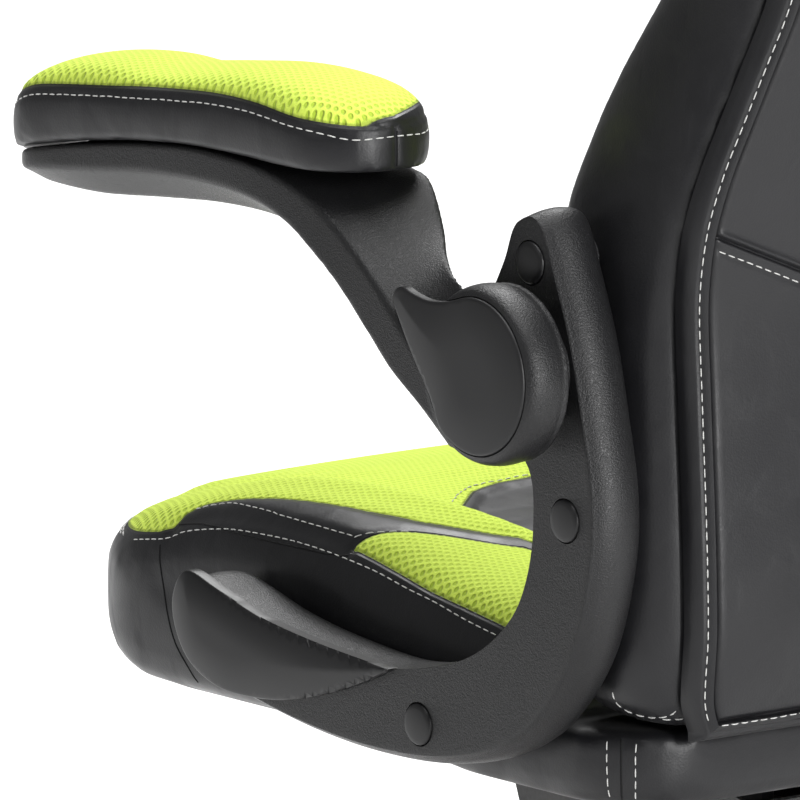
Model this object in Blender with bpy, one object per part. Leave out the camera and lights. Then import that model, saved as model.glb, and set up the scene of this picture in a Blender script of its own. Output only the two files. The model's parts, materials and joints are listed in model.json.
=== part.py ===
"""Gaming chair: high-backed swivel chair with flip-up arms, on a five-star base with twin-wheel casters.

Units are metres, +Z is up, the sitter faces -Y and the sitter's left is +X. The origin is on the floor,
under the swivel axis, with the gas lift at its lowest and the arms down.
"""

import math

import bmesh
import bpy
from mathutils import Matrix, Vector

# ---------------------------------------------------------------- driving dimensions

GAP = 0.0003            # clearance between faces that touch
ROUND = 20              # sides of a round piece

# five-star base and casters
LEGS = 5
STEM_CIRCLE = 0.335     # radius of the circle that the caster stems stand on
HUB_R = 0.036
HUB_Z = (0.062, 0.118)
LEG_END_Z = (0.0640, 0.0865)
WHEEL_R = 0.0265
WHEEL_SIDES = 20
WHEEL_IN, WHEEL_OUT = 0.0074, 0.0238    # inner and outer face of a wheel, from the caster's middle
CASTER_TRAIL = 0.018    # from the stem's axis to the axle
HOOD_TOP = 0.0570

# gas lift
TUBE_R = 0.0250         # outer tube, pressed into the base
TUBE_Z = (0.052, 0.255)
COLUMN_R = 0.0140       # inner tube, which carries the seat
COLUMN_Z = (0.075, 0.300)
ROD_R = 0.0050

# tilt mechanism, under the seat
HOUSING_HALF = 0.059
HOUSING_FLOOR = 0.268
SHEET = 0.003           # pressed steel
PIN_Y, PIN_Z, PIN_R = -0.070, 0.315, 0.005
BOLT_Y = -0.100         # tension bolt, in front of the tilt pin
LEVER_Y, LEVER_Z, LEVER_R = -0.036, 0.297, 0.005
PLATE_Z = (0.3387, 0.3417)

# seat
SEAT_HALF = 0.2540
SEAT_Y = (-0.310, 0.215)
PAN_Z = (0.3420, 0.3550)
LEDGE_Y, LEDGE_Z = 0.128, 0.3805        # the low ledge that the backrest stands on

# backrest
BACK_FOOT, BACK_TOP = 0.3815, 1.165
BOARD_T = 0.014
BOARD_FOOT = 0.3765         # the rear panel hangs a little below the seat's ledge

# arms: bracket, hub and pad
BRACKET_X = (0.258, 0.290)
HUB_X = (0.3035, 0.330)
PIVOT_Y, PIVOT_Z = 0.180, 0.575
HUB_RADIUS = 0.047
BOSS_RADIUS = 0.0365
CAP_FLOOR = 0.3255      # floor of the pocket that the leaf-shaped cap sits in
PAD_HALF, PAD_X = 0.0425, 0.3075
PAD_Y = (-0.224, 0.088)

# ---------------------------------------------------------------- shapes of the arm, in (Y, Z)

BRACKET_OUTLINE = [
    (0.176, 0.6575), (0.189, 0.6530), (0.201, 0.627), (0.214, 0.593), (0.224, 0.554), (0.232, 0.514),
    (0.231, 0.478), (0.219, 0.435), (0.201, 0.405), (0.176, 0.380), (0.143, 0.363), (0.096, 0.352),
    (0.046, 0.349), (-0.001, 0.351), (-0.048, 0.357), (-0.091, 0.366), (-0.117, 0.380), (-0.126, 0.404),
    (-0.114, 0.424), (-0.089, 0.420), (-0.050, 0.410), (0.000, 0.403), (0.055, 0.400), (0.101, 0.408),
    (0.134, 0.421), (0.160, 0.442), (0.173, 0.466), (0.178, 0.495), (0.174, 0.522), (0.150, 0.540),
    (0.135, 0.562), (0.134, 0.588), (0.143, 0.610), (0.154, 0.630), (0.162, 0.648),
]
SEAT_COVER_OUTLINE = [
    (-0.116, 0.427), (-0.089, 0.421), (-0.050, 0.411), (0.000, 0.4045), (0.050, 0.4005), (0.060, 0.398),
    (0.017, 0.381), (-0.023, 0.370), (-0.056, 0.366), (-0.088, 0.367), (-0.113, 0.377), (-0.126, 0.394),
    (-0.128, 0.412),
]
PLUGS = {"top": (0.176, 0.630), "back": (0.205, 0.499), "seat": (0.083, 0.373)}
FRONT_SPACER = (-0.070, 0.390)
PLUG_R = 0.0112

# The swinging arm is skinned over stations: tip first, hub last. Each has the (Y, Z) of its outer top
# edge, of its rear or inner top edge, of the lower edge of its side band and of its underside, and
# then its outer and inner X.
ARM_STATIONS = [
    ((-0.2200, 0.6455), (-0.2200, 0.6455), (-0.2200, 0.6425), (-0.2200, 0.6395), 0.3165, 0.2985),
    ((-0.2152, 0.6475), (-0.2152, 0.6475), (-0.2152, 0.6410), (-0.2152, 0.6362), 0.3279, 0.2871),
    ((-0.2050, 0.6508), (-0.2050, 0.6508), (-0.2050, 0.6412), (-0.2050, 0.6338), 0.3371, 0.2779),
    ((-0.1880, 0.6545), (-0.1880, 0.6545), (-0.1880, 0.6435), (-0.1870, 0.6330), 0.3422, 0.2728),
    ((-0.1450, 0.6610), (-0.1450, 0.6610), (-0.1450, 0.6475), (-0.1450, 0.6325), 0.343, 0.272),
    ((-0.0900, 0.6675), (-0.0900, 0.6675), (-0.0900, 0.6525), (-0.0900, 0.6365), 0.343, 0.272),
    ((-0.0400, 0.6700), (-0.0400, 0.6700), (-0.0400, 0.6535), (-0.0400, 0.6395), 0.343, 0.272),
    ((0.0050, 0.6668), (0.0250, 0.6668), (0.0020, 0.6495), (0.0020, 0.6385), 0.342, 0.272),
    ((0.0330, 0.6590), (0.0610, 0.6640), (0.0300, 0.6395), (0.0300, 0.6330), 0.339, 0.272),
    ((0.0550, 0.6485), (0.0770, 0.6580), (0.0515, 0.6240), (0.0520, 0.6220), 0.336, 0.275),
    ((0.0760, 0.6330), (0.0955, 0.6390), (0.0690, 0.6085), (0.0695, 0.6075), 0.333, 0.282),
    ((0.0980, 0.6130), (0.1110, 0.6270), (0.0895, 0.5880), (0.0900, 0.5870), 0.331, 0.292),
    ((0.1180, 0.5930), (0.1270, 0.6190), (0.1090, 0.5695), (0.1095, 0.5690), 0.330, 0.300),
    ((0.1430, 0.5700), (0.1450, 0.6135), (0.1340, 0.5525), (0.1340, 0.5520), 0.330, 0.3037),
]

# ---------------------------------------------------------------- shapes of the backrest, by height

BACK_HALF_WIDTH = [(0.3815, 0.236), (0.400, 0.250), (0.440, 0.254), (0.620, 0.254), (0.680, 0.246),
                   (0.770, 0.226), (0.840, 0.222), (0.920, 0.236), (0.985, 0.228), (1.050, 0.186),
                   (1.110, 0.168), (1.150, 0.150), (1.165, 0.118)]
BOARD_HALF_WIDTH = [(0.392, 0.219), (0.455, 0.228), (0.560, 0.2325), (0.640, 0.236), (0.682, 0.2355),
                    (0.730, 0.227), (0.771, 0.2155), (0.840, 0.211), (0.920, 0.224), (0.985, 0.217), (1.050, 0.175),
                    (1.110, 0.157), (1.156, 0.130)]
BACK_REAR_Y = [(0.3815, 0.236), (0.440, 0.2455), (0.600, 0.2460), (0.660, 0.258), (0.770, 0.292),
               (0.850, 0.319), (0.950, 0.346), (1.050, 0.366), (1.165, 0.378)]
BACK_WING_Y = [(0.3815, 0.150), (0.440, 0.138), (0.600, 0.130), (0.650, 0.131), (0.683, 0.1415),
               (0.714, 0.153), (0.742, 0.167), (0.770, 0.184), (0.850, 0.222), (0.950, 0.256), (1.050, 0.286),
               (1.120, 0.304), (1.165, 0.326)]
BACK_MIDDLE_DEPTH = [(0.3815, 0.000), (0.500, 0.004), (0.650, 0.016), (0.900, 0.024), (1.020, 0.006),
                     (1.120, -0.004), (1.165, 0.002)]


# ---------------------------------------------------------------- small tools

def along(keys, x):
    """Smooth value at x of a curve through the (x, value) keys."""
    if x <= keys[0][0]:
        return keys[0][1]
    for k in range(len(keys) - 1):
        (x0, v0), (x1, v1) = keys[k], keys[k + 1]
        if x > x1:
            continue
        before, after = keys[max(k - 1, 0)], keys[min(k + 2, len(keys) - 1)]
        slope0 = (v1 - before[1]) / (x1 - before[0])
        slope1 = (after[1] - v0) / (after[0] - x0)
        span = x1 - x0
        t = (x - x0) / span
        return ((2 * t ** 3 - 3 * t ** 2 + 1) * v0 + (t ** 3 - 2 * t ** 2 + t) * span * slope0
                + (3 * t ** 2 - 2 * t ** 3) * v1 + (t ** 3 - t ** 2) * span * slope1)
    return keys[-1][1]


def smooth_loop(points, steps):
    """The closed curve through the points, with this many steps from each one to the next."""
    count = len(points)
    made = []
    for k in range(count):
        a, b, c, d = (Vector(points[(k + j) % count]) for j in (-1, 0, 1, 2))
        for step in range(steps):
            t = step / steps
            made.append(0.5 * (2 * b + (c - a) * t + (2 * a - 5 * b + 4 * c - d) * t ** 2
                               + (3 * b - a - 3 * c + d) * t ** 3))
    return made


def grown(outline, by):
    """The closed outline moved outwards by a distance, or inwards where it is negative."""
    count = len(outline)
    area = sum(outline[k].x * outline[(k + 1) % count].y - outline[(k + 1) % count].x * outline[k].y
               for k in range(count))
    turn = 1 if area > 0 else -1
    made = []
    for k, point in enumerate(outline):
        run = (outline[(k + 1) % count] - outline[k - 1]).normalized()
        made.append(point + Vector((run.y, -run.x)) * turn * by)
    return made


def rounded_box_outline(x_half, y_low, y_high, front_r, rear_r, steps):
    """Plan outline, in (X, Y), of a rectangle with round corners."""
    made = []
    corners = [(x_half - front_r, y_low + front_r, front_r, -90), (x_half - rear_r, y_high - rear_r, rear_r, 0),
               (rear_r - x_half, y_high - rear_r, rear_r, 90), (front_r - x_half, y_low + front_r, front_r, 180)]
    for x, y, r, start in corners:
        for step in range(steps + 1):
            angle = math.radians(start + 90 * step / steps)
            made.append(Vector((x + r * math.cos(angle), y + r * math.sin(angle))))
    return made


def skin(rings, cap_first=True, cap_last=True):
    """A body through rings of points, which all hold the same number."""
    bm = bmesh.new()
    rows = [[bm.verts.new(p) for p in ring] for ring in rings]
    for low, high in zip(rows, rows[1:]):
        count = len(low)
        for k in range(count):
            n = (k + 1) % count
            bm.faces.new((low[k], low[n], high[n], high[k]))
    if cap_first:
        bm.faces.new(rows[0])
    if cap_last:
        bm.faces.new(rows[-1])
    bmesh.ops.recalc_face_normals(bm, faces=bm.faces)
    return bm


def turned(profile, sides=ROUND, tube=False, half_step=False):
    """A body turned about Z from (radius, height) points; a tube's profile closes on itself."""
    bm = bmesh.new()
    shift = 0.5 if half_step else 0.0
    rows = []
    for radius, height in profile:
        if radius < 1e-7:
            rows.append([bm.verts.new((0, 0, height))] * sides)
            continue
        rows.append([bm.verts.new((radius * math.cos(2 * math.pi * (k + shift) / sides),
                                   radius * math.sin(2 * math.pi * (k + shift) / sides), height))
                     for k in range(sides)])
    pairs = list(zip(rows, rows[1:])) + ([(rows[-1], rows[0])] if tube else [])
    for low, high in pairs:
        for k in range(sides):
            n = (k + 1) % sides
            corners = []
            for corner in (low[k], low[n], high[n], high[k]):
                if corner not in corners:
                    corners.append(corner)
            if len(corners) > 2:
                bm.faces.new(corners)
    bmesh.ops.recalc_face_normals(bm, faces=bm.faces)
    return bm


def cylinder(radius, low, high, sides=ROUND):
    return turned([(0, low), (radius, low), (radius, high), (0, high)], sides)


def box(low, high):
    bm = bmesh.new()
    bmesh.ops.create_cube(bm, size=1.0)
    low, high = Vector(low), Vector(high)
    for vertex in bm.verts:
        vertex.co = Vector([low[k] if vertex.co[k] < 0 else high[k] for k in range(3)])
    return bm


def prism(outline, low, high, axis="X"):
    """An outline pushed along an axis: (Y, Z) points along X, or (X, Y) points along Z."""
    if axis == "X":
        return skin([[(x, p[0], p[1]) for p in outline] for x in (low, high)])
    return skin([[(p[0], p[1], z) for p in outline] for z in (low, high)])


def moved(bm, offset=(0, 0, 0), turn=None, side=1):
    """The body turned, shifted and, for the right-hand side, mirrored in X."""
    matrix = Matrix.Translation(offset) @ (turn or Matrix.Identity(4))
    bm.transform(Matrix.Diagonal((side, 1, 1, 1)) @ matrix)
    if side < 0:
        bmesh.ops.reverse_faces(bm, faces=bm.faces)
    return bm


ALONG_X = Matrix.Rotation(math.radians(90), 4, "Y")


def across(bm, y, z, side=1):
    """A body turned about Z, laid along X through (y, z)."""
    return moved(bm, (0, y, z), ALONG_X, side)


def material(name, colour, roughness, metallic=0.0):
    made = bpy.data.materials.get(name)
    if made is None:
        made = bpy.data.materials.new(name)
        made.use_nodes = True
        shader = made.node_tree.nodes["Principled BSDF"]
        shader.inputs["Base Color"].default_value = (*colour, 1)
        shader.inputs["Roughness"].default_value = roughness
        shader.inputs["Metallic"].default_value = metallic
    return made


NYLON = ("nylon", (0.022, 0.022, 0.024), 0.55)
STEEL = ("steel", (0.62, 0.62, 0.64), 0.28, 1.0)
PAINT = ("black_paint", (0.018, 0.018, 0.019), 0.42)
LEATHER = ("black_leather", (0.026, 0.026, 0.029), 0.45)
CUSHION = ("cushion_cover", (0.028, 0.028, 0.031), 0.50)
MESH_GREEN = ("green_mesh", (0.53, 0.80, 0.06), 0.80)
PLYWOOD = ("plywood", (0.46, 0.33, 0.20), 0.75)
TYRE = ("tyre", (0.030, 0.030, 0.032), 0.70)


def joined(bm, adds=(), cuts=()):
    """One body from bm, with other bodies joined to it and then others cut from it."""
    helpers = []

    def helper(body, label):
        mesh = bpy.data.meshes.new(label)
        body.to_mesh(mesh)
        body.free()
        made = bpy.data.objects.new(label, mesh)
        made.hide_render = True
        made.display_type = "WIRE"
        bpy.context.scene.collection.objects.link(made)
        helpers.append(made)
        return made

    whole = helper(bm, "whole")
    for bodies, operation in ((adds, "UNION"), (cuts, "DIFFERENCE")):
        for body in bodies:
            modifier = whole.modifiers.new(operation, "BOOLEAN")
            modifier.operation = operation
            modifier.object = helper(body, operation.lower())
    bpy.context.view_layer.update()
    evaluated = whole.evaluated_get(bpy.context.evaluated_depsgraph_get())
    made = bmesh.new()
    made.from_mesh(evaluated.data)
    for made_helper in helpers:
        bpy.data.objects.remove(made_helper)
    return made


def place(name, bm, finish, pivot=(0, 0, 0), smooth=35):
    """A named object with its origin at the pivot, from a body made in the chair's own frame."""
    pivot = Vector(pivot)
    bm.transform(Matrix.Translation(-pivot))
    mesh = bpy.data.meshes.new(name)
    bm.to_mesh(mesh)
    bm.free()
    mesh.shade_smooth()
    mesh.set_sharp_from_angle(angle=math.radians(smooth))
    mesh.materials.append(material(*finish))
    made = bpy.data.objects.new(name, mesh)
    made.location = pivot
    bpy.context.scene.collection.objects.link(made)
    return made


# ---------------------------------------------------------------- five-star base and casters

def leg(angle):
    """One leg of the star, pointing along the angle, with a round end over the caster's stem."""
    stations = [(0.030, 0.0260, 0.0660, 0.1120), (0.090, 0.0235, 0.0655, 0.1060), (0.180, 0.0200, 0.0650, 0.0980),
                (0.270, 0.0180, 0.0645, 0.0905), (STEM_CIRCLE - 0.010, 0.0178, LEG_END_Z[0], LEG_END_Z[1]),
                (STEM_CIRCLE + 0.006, 0.0165, LEG_END_Z[0], LEG_END_Z[1] - 0.0008),
                (STEM_CIRCLE + 0.015, 0.0110, LEG_END_Z[0], LEG_END_Z[1] - 0.0025),
                (STEM_CIRCLE + 0.0185, 0.0040, LEG_END_Z[0] + 0.001, LEG_END_Z[1] - 0.0050)]
    rings = []
    for out, half, low, high in stations:
        shoulder = 0.35 * (high - low)
        rings.append([(out, -half, low), (out, half, low), (out, half, high - shoulder),
                      (out, 0.62 * half, high), (out, -0.62 * half, high), (out, -half, high - shoulder)])
    return moved(skin(rings), turn=Matrix.Rotation(angle, 4, "Z"))


def leg_angle(number):
    return math.radians(-90 + 360 / LEGS * number)


def make_base():
    hub = turned([(0.0258, HUB_Z[0]), (HUB_R, HUB_Z[0]), (HUB_R, 0.108), (0.0335, HUB_Z[1]), (0.0258, HUB_Z[1])],
                 24, tube=True)
    sockets = []
    for number in range(LEGS):
        a = leg_angle(number)
        spot = (STEM_CIRCLE * math.cos(a), STEM_CIRCLE * math.sin(a), 0)
        sockets.append(moved(cylinder(0.0061, 0.055, 0.0815, 12), spot))
    place("star_base", joined(hub, [leg(leg_angle(n)) for n in range(LEGS)], sockets), NYLON)


def caster_hood():
    """Hood with its web and stub axles, in a frame at the stem: the axle is CASTER_TRAIL along +X."""
    steps = 14
    arc = [math.radians(-15 + 210 * k / steps) for k in range(steps + 1)]
    shell_r = 0.0306
    outline = [(CASTER_TRAIL + shell_r * math.cos(a), WHEEL_R + shell_r * math.sin(a)) for a in arc]
    width = WHEEL_OUT + 0.0004
    block = skin([[(p[0], y, p[1]) for p in outline] for y in (-width, width)])
    boss = cylinder(0.0105, 0.046, HOOD_TOP, 16)
    lay = Matrix.Rotation(math.radians(90), 4, "X")
    wells = [moved(cylinder(0.0276, 0.0069, 0.030), (CASTER_TRAIL, 0, WHEEL_R),
                   Matrix.Rotation(math.radians(90 * s), 4, "X")) for s in (-1, 1)]
    web_and_hood = joined(block, [boss], wells)
    stub = moved(cylinder(0.0040, -0.0232, 0.0232, 12), (CASTER_TRAIL, 0, WHEEL_R), lay)
    return joined(web_and_hood, [stub], [cylinder(0.0059, 0.036, 0.06, 12)])


def caster_stem():
    return turned([(0, 0.0365), (0.0055, 0.0365), (0.0055, HOOD_TOP + GAP), (0.0095, HOOD_TOP + GAP),
                   (0.0095, 0.0625), (0.0055, 0.0625), (0.0055, 0.0790), (0.0042, 0.0810), (0, 0.0810)], 12)


def wheel(side):
    """One wheel of a caster, in the caster's frame, with a flat of its tread on the floor."""
    tread = WHEEL_R / math.cos(math.pi / WHEEL_SIDES)
    profile = [(0.0045, WHEEL_IN), (tread - 0.0035, WHEEL_IN), (tread, WHEEL_IN + 0.003), (tread, WHEEL_OUT - 0.004),
               (tread - 0.0022, WHEEL_OUT), (0.0045, WHEEL_OUT)]
    body = turned(profile, WHEEL_SIDES, tube=True, half_step=True)
    return moved(body, (CASTER_TRAIL, 0, WHEEL_R), Matrix.Rotation(math.radians(-90 * side), 4, "X"))


def make_casters():
    hood, stem, wheels = caster_hood(), caster_stem(), {"a": wheel(1), "b": wheel(-1)}
    for number in range(LEGS):
        a = leg_angle(number)
        outwards = Vector((math.cos(a), math.sin(a), 0))
        at_stem = Matrix.Translation(STEM_CIRCLE * outwards) @ Matrix.Rotation(a, 4, "Z")
        axle = (STEM_CIRCLE + CASTER_TRAIL) * outwards + Vector((0, 0, WHEEL_R))

        def copy(body):
            made = body.copy()
            made.transform(at_stem)
            return made

        label = number + 1
        place(f"caster_hood_{label}", copy(hood), NYLON, STEM_CIRCLE * outwards)
        place(f"caster_stem_{label}", copy(stem), STEEL, STEM_CIRCLE * outwards)
        for letter, body in wheels.items():
            place(f"caster_wheel_{label}{letter}", copy(body), TYRE, axle)


# ---------------------------------------------------------------- gas lift and its covers

def make_gas_lift():
    place("gas_outer_tube", turned([(0.0056, TUBE_Z[0]), (TUBE_R, TUBE_Z[0]), (TUBE_R, TUBE_Z[1]),
                                    (0.0150, TUBE_Z[1]), (0.0150, 0.058), (0.0056, 0.058)], tube=True), PAINT)
    place("piston_rod", turned([(0, 0.0460), (0.0090, 0.0460), (0.0090, 0.0516), (ROD_R, 0.0516), (ROD_R, 0.2320),
                                (0.0105, 0.2320), (0.0105, 0.2400), (0, 0.2400)], 16), STEEL)
    place("gas_inner_tube", turned([(0.0056, COLUMN_Z[0]), (COLUMN_R, COLUMN_Z[0]), (COLUMN_R, COLUMN_Z[1]),
                                    (0.0038, COLUMN_Z[1]), (0.0038, 0.292), (0.0112, 0.292), (0.0112, 0.085),
                                    (0.0056, 0.085)], tube=True), STEEL)
    place("valve_button", cylinder(0.0033, 0.2860, 0.3070, 12), STEEL)
    place("cover_lower", turned([(0.0318, HUB_Z[1] + GAP), (0.0332, HUB_Z[1] + GAP), (0.0332, 0.186), (0.0345, 0.190),
                                 (0.0318, 0.190)], 24, tube=True), NYLON)
    place("cover_middle", turned([(0.0293, 0.127), (0.0308, 0.127), (0.0308, 0.218), (0.0316, 0.221),
                                  (0.0293, 0.221)], 24, tube=True), NYLON)
    place("cover_upper", turned([(0.0269, 0.150), (0.0284, 0.150), (0.0284, 0.2600), (0.0250, 0.2675),
                                 (0.0147, 0.2675), (0.0147, 0.2640), (0.0269, 0.2590)], 24, tube=True), NYLON)


# ---------------------------------------------------------------- tilt mechanism

def make_tilt_housing():
    inner = HOUSING_HALF - SHEET
    outside = [(-0.132, 0.300), (-0.120, HOUSING_FLOOR), (0.074, HOUSING_FLOOR), (0.080, 0.275), (0.080, 0.299),
               (-0.050, 0.3255), (-0.095, 0.3255), (-0.132, 0.318)]
    inside = [(-0.129, 0.3005), (-0.118, HOUSING_FLOOR + SHEET), (0.073, HOUSING_FLOOR + SHEET), (0.077, 0.276),
              (0.077, 0.340), (-0.129, 0.340)]
    socket = cylinder(0.0195, HOUSING_FLOOR + 0.0003, 0.302)
    holes = [
        cylinder(0.0144, 0.250, 0.320),
        box((-0.0070, -0.1155, 0.260), (0.0070, -0.0945, 0.280)),
        across(cylinder(0.0056, -0.070, 0.070, 16), PIN_Y, PIN_Z),
        across(cylinder(0.0058, -0.070, -0.050, 16), LEVER_Y, LEVER_Z),
    ]
    hollow = joined(prism(outside, -HOUSING_HALF, HOUSING_HALF), (), [prism(inside, -inner, inner)])
    place("tilt_housing", joined(hollow, [socket], holes), PAINT)
    place("tilt_pin", across(turned([(0, -0.0665), (PIN_R, -0.0665), (PIN_R, 0.0650), (0.0085, 0.0650),
                                     (0.0085, 0.0685), (0, 0.0685)], 16), PIN_Y, PIN_Z), STEEL, (0, PIN_Y, PIN_Z))


def make_release():
    """The height lever: its cam over the gas valve, its rod and its paddle."""
    axis = (0, LEVER_Y, LEVER_Z)
    collar = across(turned([(0.0055, -0.030), (0.0095, -0.030), (0.0095, 0.006), (0.0055, 0.006)], 16, tube=True),
                    LEVER_Y, LEVER_Z)
    finger = prism([(-0.0435, 0.3035), (-0.0285, 0.3035), (-0.0215, 0.3076), (0.0050, 0.3076), (0.0050, 0.3118),
                    (-0.0300, 0.3118), (-0.0435, 0.3060)], -0.0055, 0.0055)
    place("release_cam", joined(collar, [finger]), STEEL, axis)
    rod = across(cylinder(LEVER_R, -0.242, 0.004, 16), LEVER_Y, LEVER_Z)
    place("lever_rod", rod, STEEL, axis)
    outline = [(-0.212, -0.029), (-0.212, -0.043), (-0.228, -0.066), (-0.246, -0.079), (-0.282, -0.082),
               (-0.294, -0.074), (-0.296, -0.050), (-0.288, -0.034), (-0.262, -0.028)]
    loop = smooth_loop(outline, 2)
    sections = [(grown(loop, -0.003), 0.2895), (loop, 0.2925), (loop, 0.3015), (grown(loop, -0.003), 0.3045)]
    paddle = skin([[(p.x, p.y, z) for p in ring] for ring, z in sections])
    bore = across(cylinder(0.0055, -0.2435, -0.200, 16), LEVER_Y, LEVER_Z)
    place("lever_handle", joined(paddle, (), [bore]), NYLON, axis)


def make_seat_plate():
    plate = box((-0.105, -0.135, PLATE_Z[0]), (0.105, 0.125, PLATE_Z[1]))
    flange = HOUSING_HALF + 0.0008
    flanges = [box((min(s * flange, s * (flange + 0.004)), -0.100, 0.3035),
                   (max(s * flange, s * (flange + 0.004)), -0.040, PLATE_Z[0] + 0.001)) for s in (-1, 1)]
    hanger = moved(cylinder(0.0095, 0.3270, PLATE_Z[0] + 0.001, 16), (0, BOLT_Y, 0))
    holes = [across(cylinder(0.0056, -0.080, 0.080, 16), PIN_Y, PIN_Z),
             moved(cylinder(0.0045, 0.320, 0.3365, 12), (0, BOLT_Y, 0))]
    place("seat_plate", joined(plate, [*flanges, hanger], holes), PAINT, (0, PIN_Y, PIN_Z))


def make_tension():
    """Tension bolt, coil spring and knob, which hang from the front of the seat plate."""
    spot = (0, BOLT_Y, 0)
    place("tension_bolt", moved(cylinder(0.0040, 0.2215, 0.3362, 12), spot), STEEL, spot)
    knob = turned([(0.0045, 0.2190), (0.0225, 0.2190), (0.0260, 0.2230), (0.0260, 0.2480), (0.0240, 0.2520),
                   (0.0180, 0.2520), (0.0180, 0.2270), (0.0045, 0.2270)], tube=True)
    place("tension_knob", moved(knob, spot), NYLON, spot)
    turns, per_turn, wire, coil = 4.5, 12, 0.0021, 0.0115
    low, high = 0.2294 + 0.0003, 0.2656
    count = int(turns * per_turn)
    rings = []
    for k in range(count + 1):
        a = 2 * math.pi * k / per_turn
        centre = Vector((coil * math.cos(a), coil * math.sin(a), low + (high - low) * k / count))
        out, up = Vector((math.cos(a), math.sin(a), 0)), Vector((0, 0, 1))
        rings.append([centre + wire * (math.cos(b) * out + math.sin(b) * up)
                      for b in (2 * math.pi * j / 6 for j in range(6))])
    place("tension_spring", moved(skin(rings), spot), STEEL, spot)


# ---------------------------------------------------------------- seat

def seat_top(x, y):
    """Height of the seat's top surface away from its edges: raised sides and a dropped front."""
    side_edge = along([(-0.31, 0.402), (-0.25, 0.421), (-0.16, 0.440), (-0.10, 0.444), (-0.03, 0.440),
                       (0.06, 0.426), (0.215, 0.412)], y)
    across_share = min(1.0, abs(x) / SEAT_HALF)
    return side_edge + 0.020 + (0.004 + 0.010 * nose(y)) * (1 - across_share ** 2)


def nose(y):
    """0 over most of the seat, rising to 1 at its front edge."""
    return max(0.0, (-0.215 - y) / 0.095) ** 2


def make_seat():
    centre_y = 0.5 * (SEAT_Y[0] + SEAT_Y[1])
    depth = 0.5 * (SEAT_Y[1] - SEAT_Y[0])
    outline = rounded_box_outline(SEAT_HALF, SEAT_Y[0], SEAT_Y[1], 0.095, 0.050, 8)
    pan = rounded_box_outline(0.2215, SEAT_Y[0] + 0.055, SEAT_Y[1] - 0.030, 0.070, 0.030, 8)
    pocket = rounded_box_outline(0.2220, SEAT_Y[0] + 0.0545, SEAT_Y[1] - 0.0295, 0.070, 0.030, 8)
    place("seat_pan", prism(pan, *PAN_Z, axis="Z"), PLYWOOD, (0, PIN_Y, PIN_Z))

    def inset(by):
        return [Vector((p.x * (1 - by / SEAT_HALF), centre_y + (p.y - centre_y) * (1 - by / depth))) for p in outline]

    ceiling, rim = PAN_Z[1] + 0.0005, 0.3375
    rings = [[(p.x, p.y, ceiling) for p in pocket], [(p.x, p.y, rim) for p in pocket]]
    for by, z, lift in ((0.012, rim, 0.018), (0.003, 0.3440, 0.025), (0.000, 0.3560, 0.031)):
        rings.append([(p.x, p.y, z + lift * nose(p.y)) for p in inset(by)])
    # The sides rise to the top edge, then the top crowns over in rings of shrinking size.
    for by, drop in ((0.000, 0.046), (0.002, 0.030), (0.010, 0.014), (0.026, 0.004), (0.060, 0.0),
                     (0.120, 0.0), (0.185, 0.0)):
        rings.append([(p.x, p.y, seat_top(p.x, p.y) - drop * (1 - 0.75 * nose(p.y))) for p in inset(by)])
    body = skin(rings)
    step = box((-0.40, LEDGE_Y, LEDGE_Z), (0.40, 0.40, 0.60))
    place("seat_cushion", joined(body, (), [step]), CUSHION, (0, PIN_Y, PIN_Z))


# ---------------------------------------------------------------- backrest

def back_section(z):
    """Horizontal outline of the backrest's cushion at a height: flat behind, winged in front."""
    half, rear = along(BACK_HALF_WIDTH, z), along(BACK_REAR_Y, z) - BOARD_T
    wing = along(BACK_WING_Y, z)
    middle = wing + along(BACK_MIDDLE_DEPTH, z)
    depth = rear - wing
    right = [(0.0, rear), (0.55 * half, rear), (half - 0.012, rear), (half - 0.002, rear - 0.22 * depth),
             (half, rear - 0.50 * depth), (half - 0.003, wing + 0.22 * depth), (half - 0.014, wing + 0.05 * depth),
             (half - 0.032, wing), (half - 0.060, wing + 0.05 * depth), (0.62 * half, 0.25 * wing + 0.75 * middle),
             (0.30 * half, middle), (0.0, middle)]
    return [(x, y) for x, y in right] + [(-x, y) for x, y in reversed(right[1:-1])]


def make_back():
    heights = [BACK_FOOT, 0.392, 0.412, 0.450, 0.500, 0.560, 0.620, 0.670, 0.720, 0.775, 0.835, 0.890, 0.940,
               0.990, 1.030, 1.070, 1.110, 1.140, 1.156, BACK_TOP]
    rings = [[(x, y, z) for x, y in back_section(z)] for z in heights]
    place("back_cushion", skin(rings), CUSHION, (0, PIN_Y, PIN_Z))
    board = []
    for z in [BOARD_FOOT, *heights[1:-1]]:
        half, rear = along(BOARD_HALF_WIDTH, z), along(BACK_REAR_Y, z)
        front = rear - BOARD_T + GAP
        bulge = 0.012
        board.append([(-half, front, z), (-half, front + 0.008, z), (-0.6 * half, rear + 0.6 * bulge, z),
                      (0, rear + bulge, z), (0.6 * half, rear + 0.6 * bulge, z), (half, front + 0.008, z),
                      (half, front, z), (0, front, z)])
    place("back_board", skin(board), LEATHER, (0, PIN_Y, PIN_Z))


# ---------------------------------------------------------------- arms

def hub_cap_outline():
    """Leaf shape on the hub: most of a circle, drawn out to a tip towards the front and up."""
    radius = 0.041
    arc = [math.radians(100 - 235 * k / 16) for k in range(17)]
    round_end = [Vector((PIVOT_Y + radius * math.cos(a), PIVOT_Z + radius * math.sin(a))) for a in arc]
    tip = [(0.143, 0.5610), (0.129, 0.5800), (0.118, 0.5970), (0.113, 0.6070), (0.1155, 0.6130), (0.1215, 0.6145),
           (0.130, 0.6120), (0.143, 0.6100), (0.158, 0.6115)]
    return round_end + [Vector(p) for p in tip]


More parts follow.
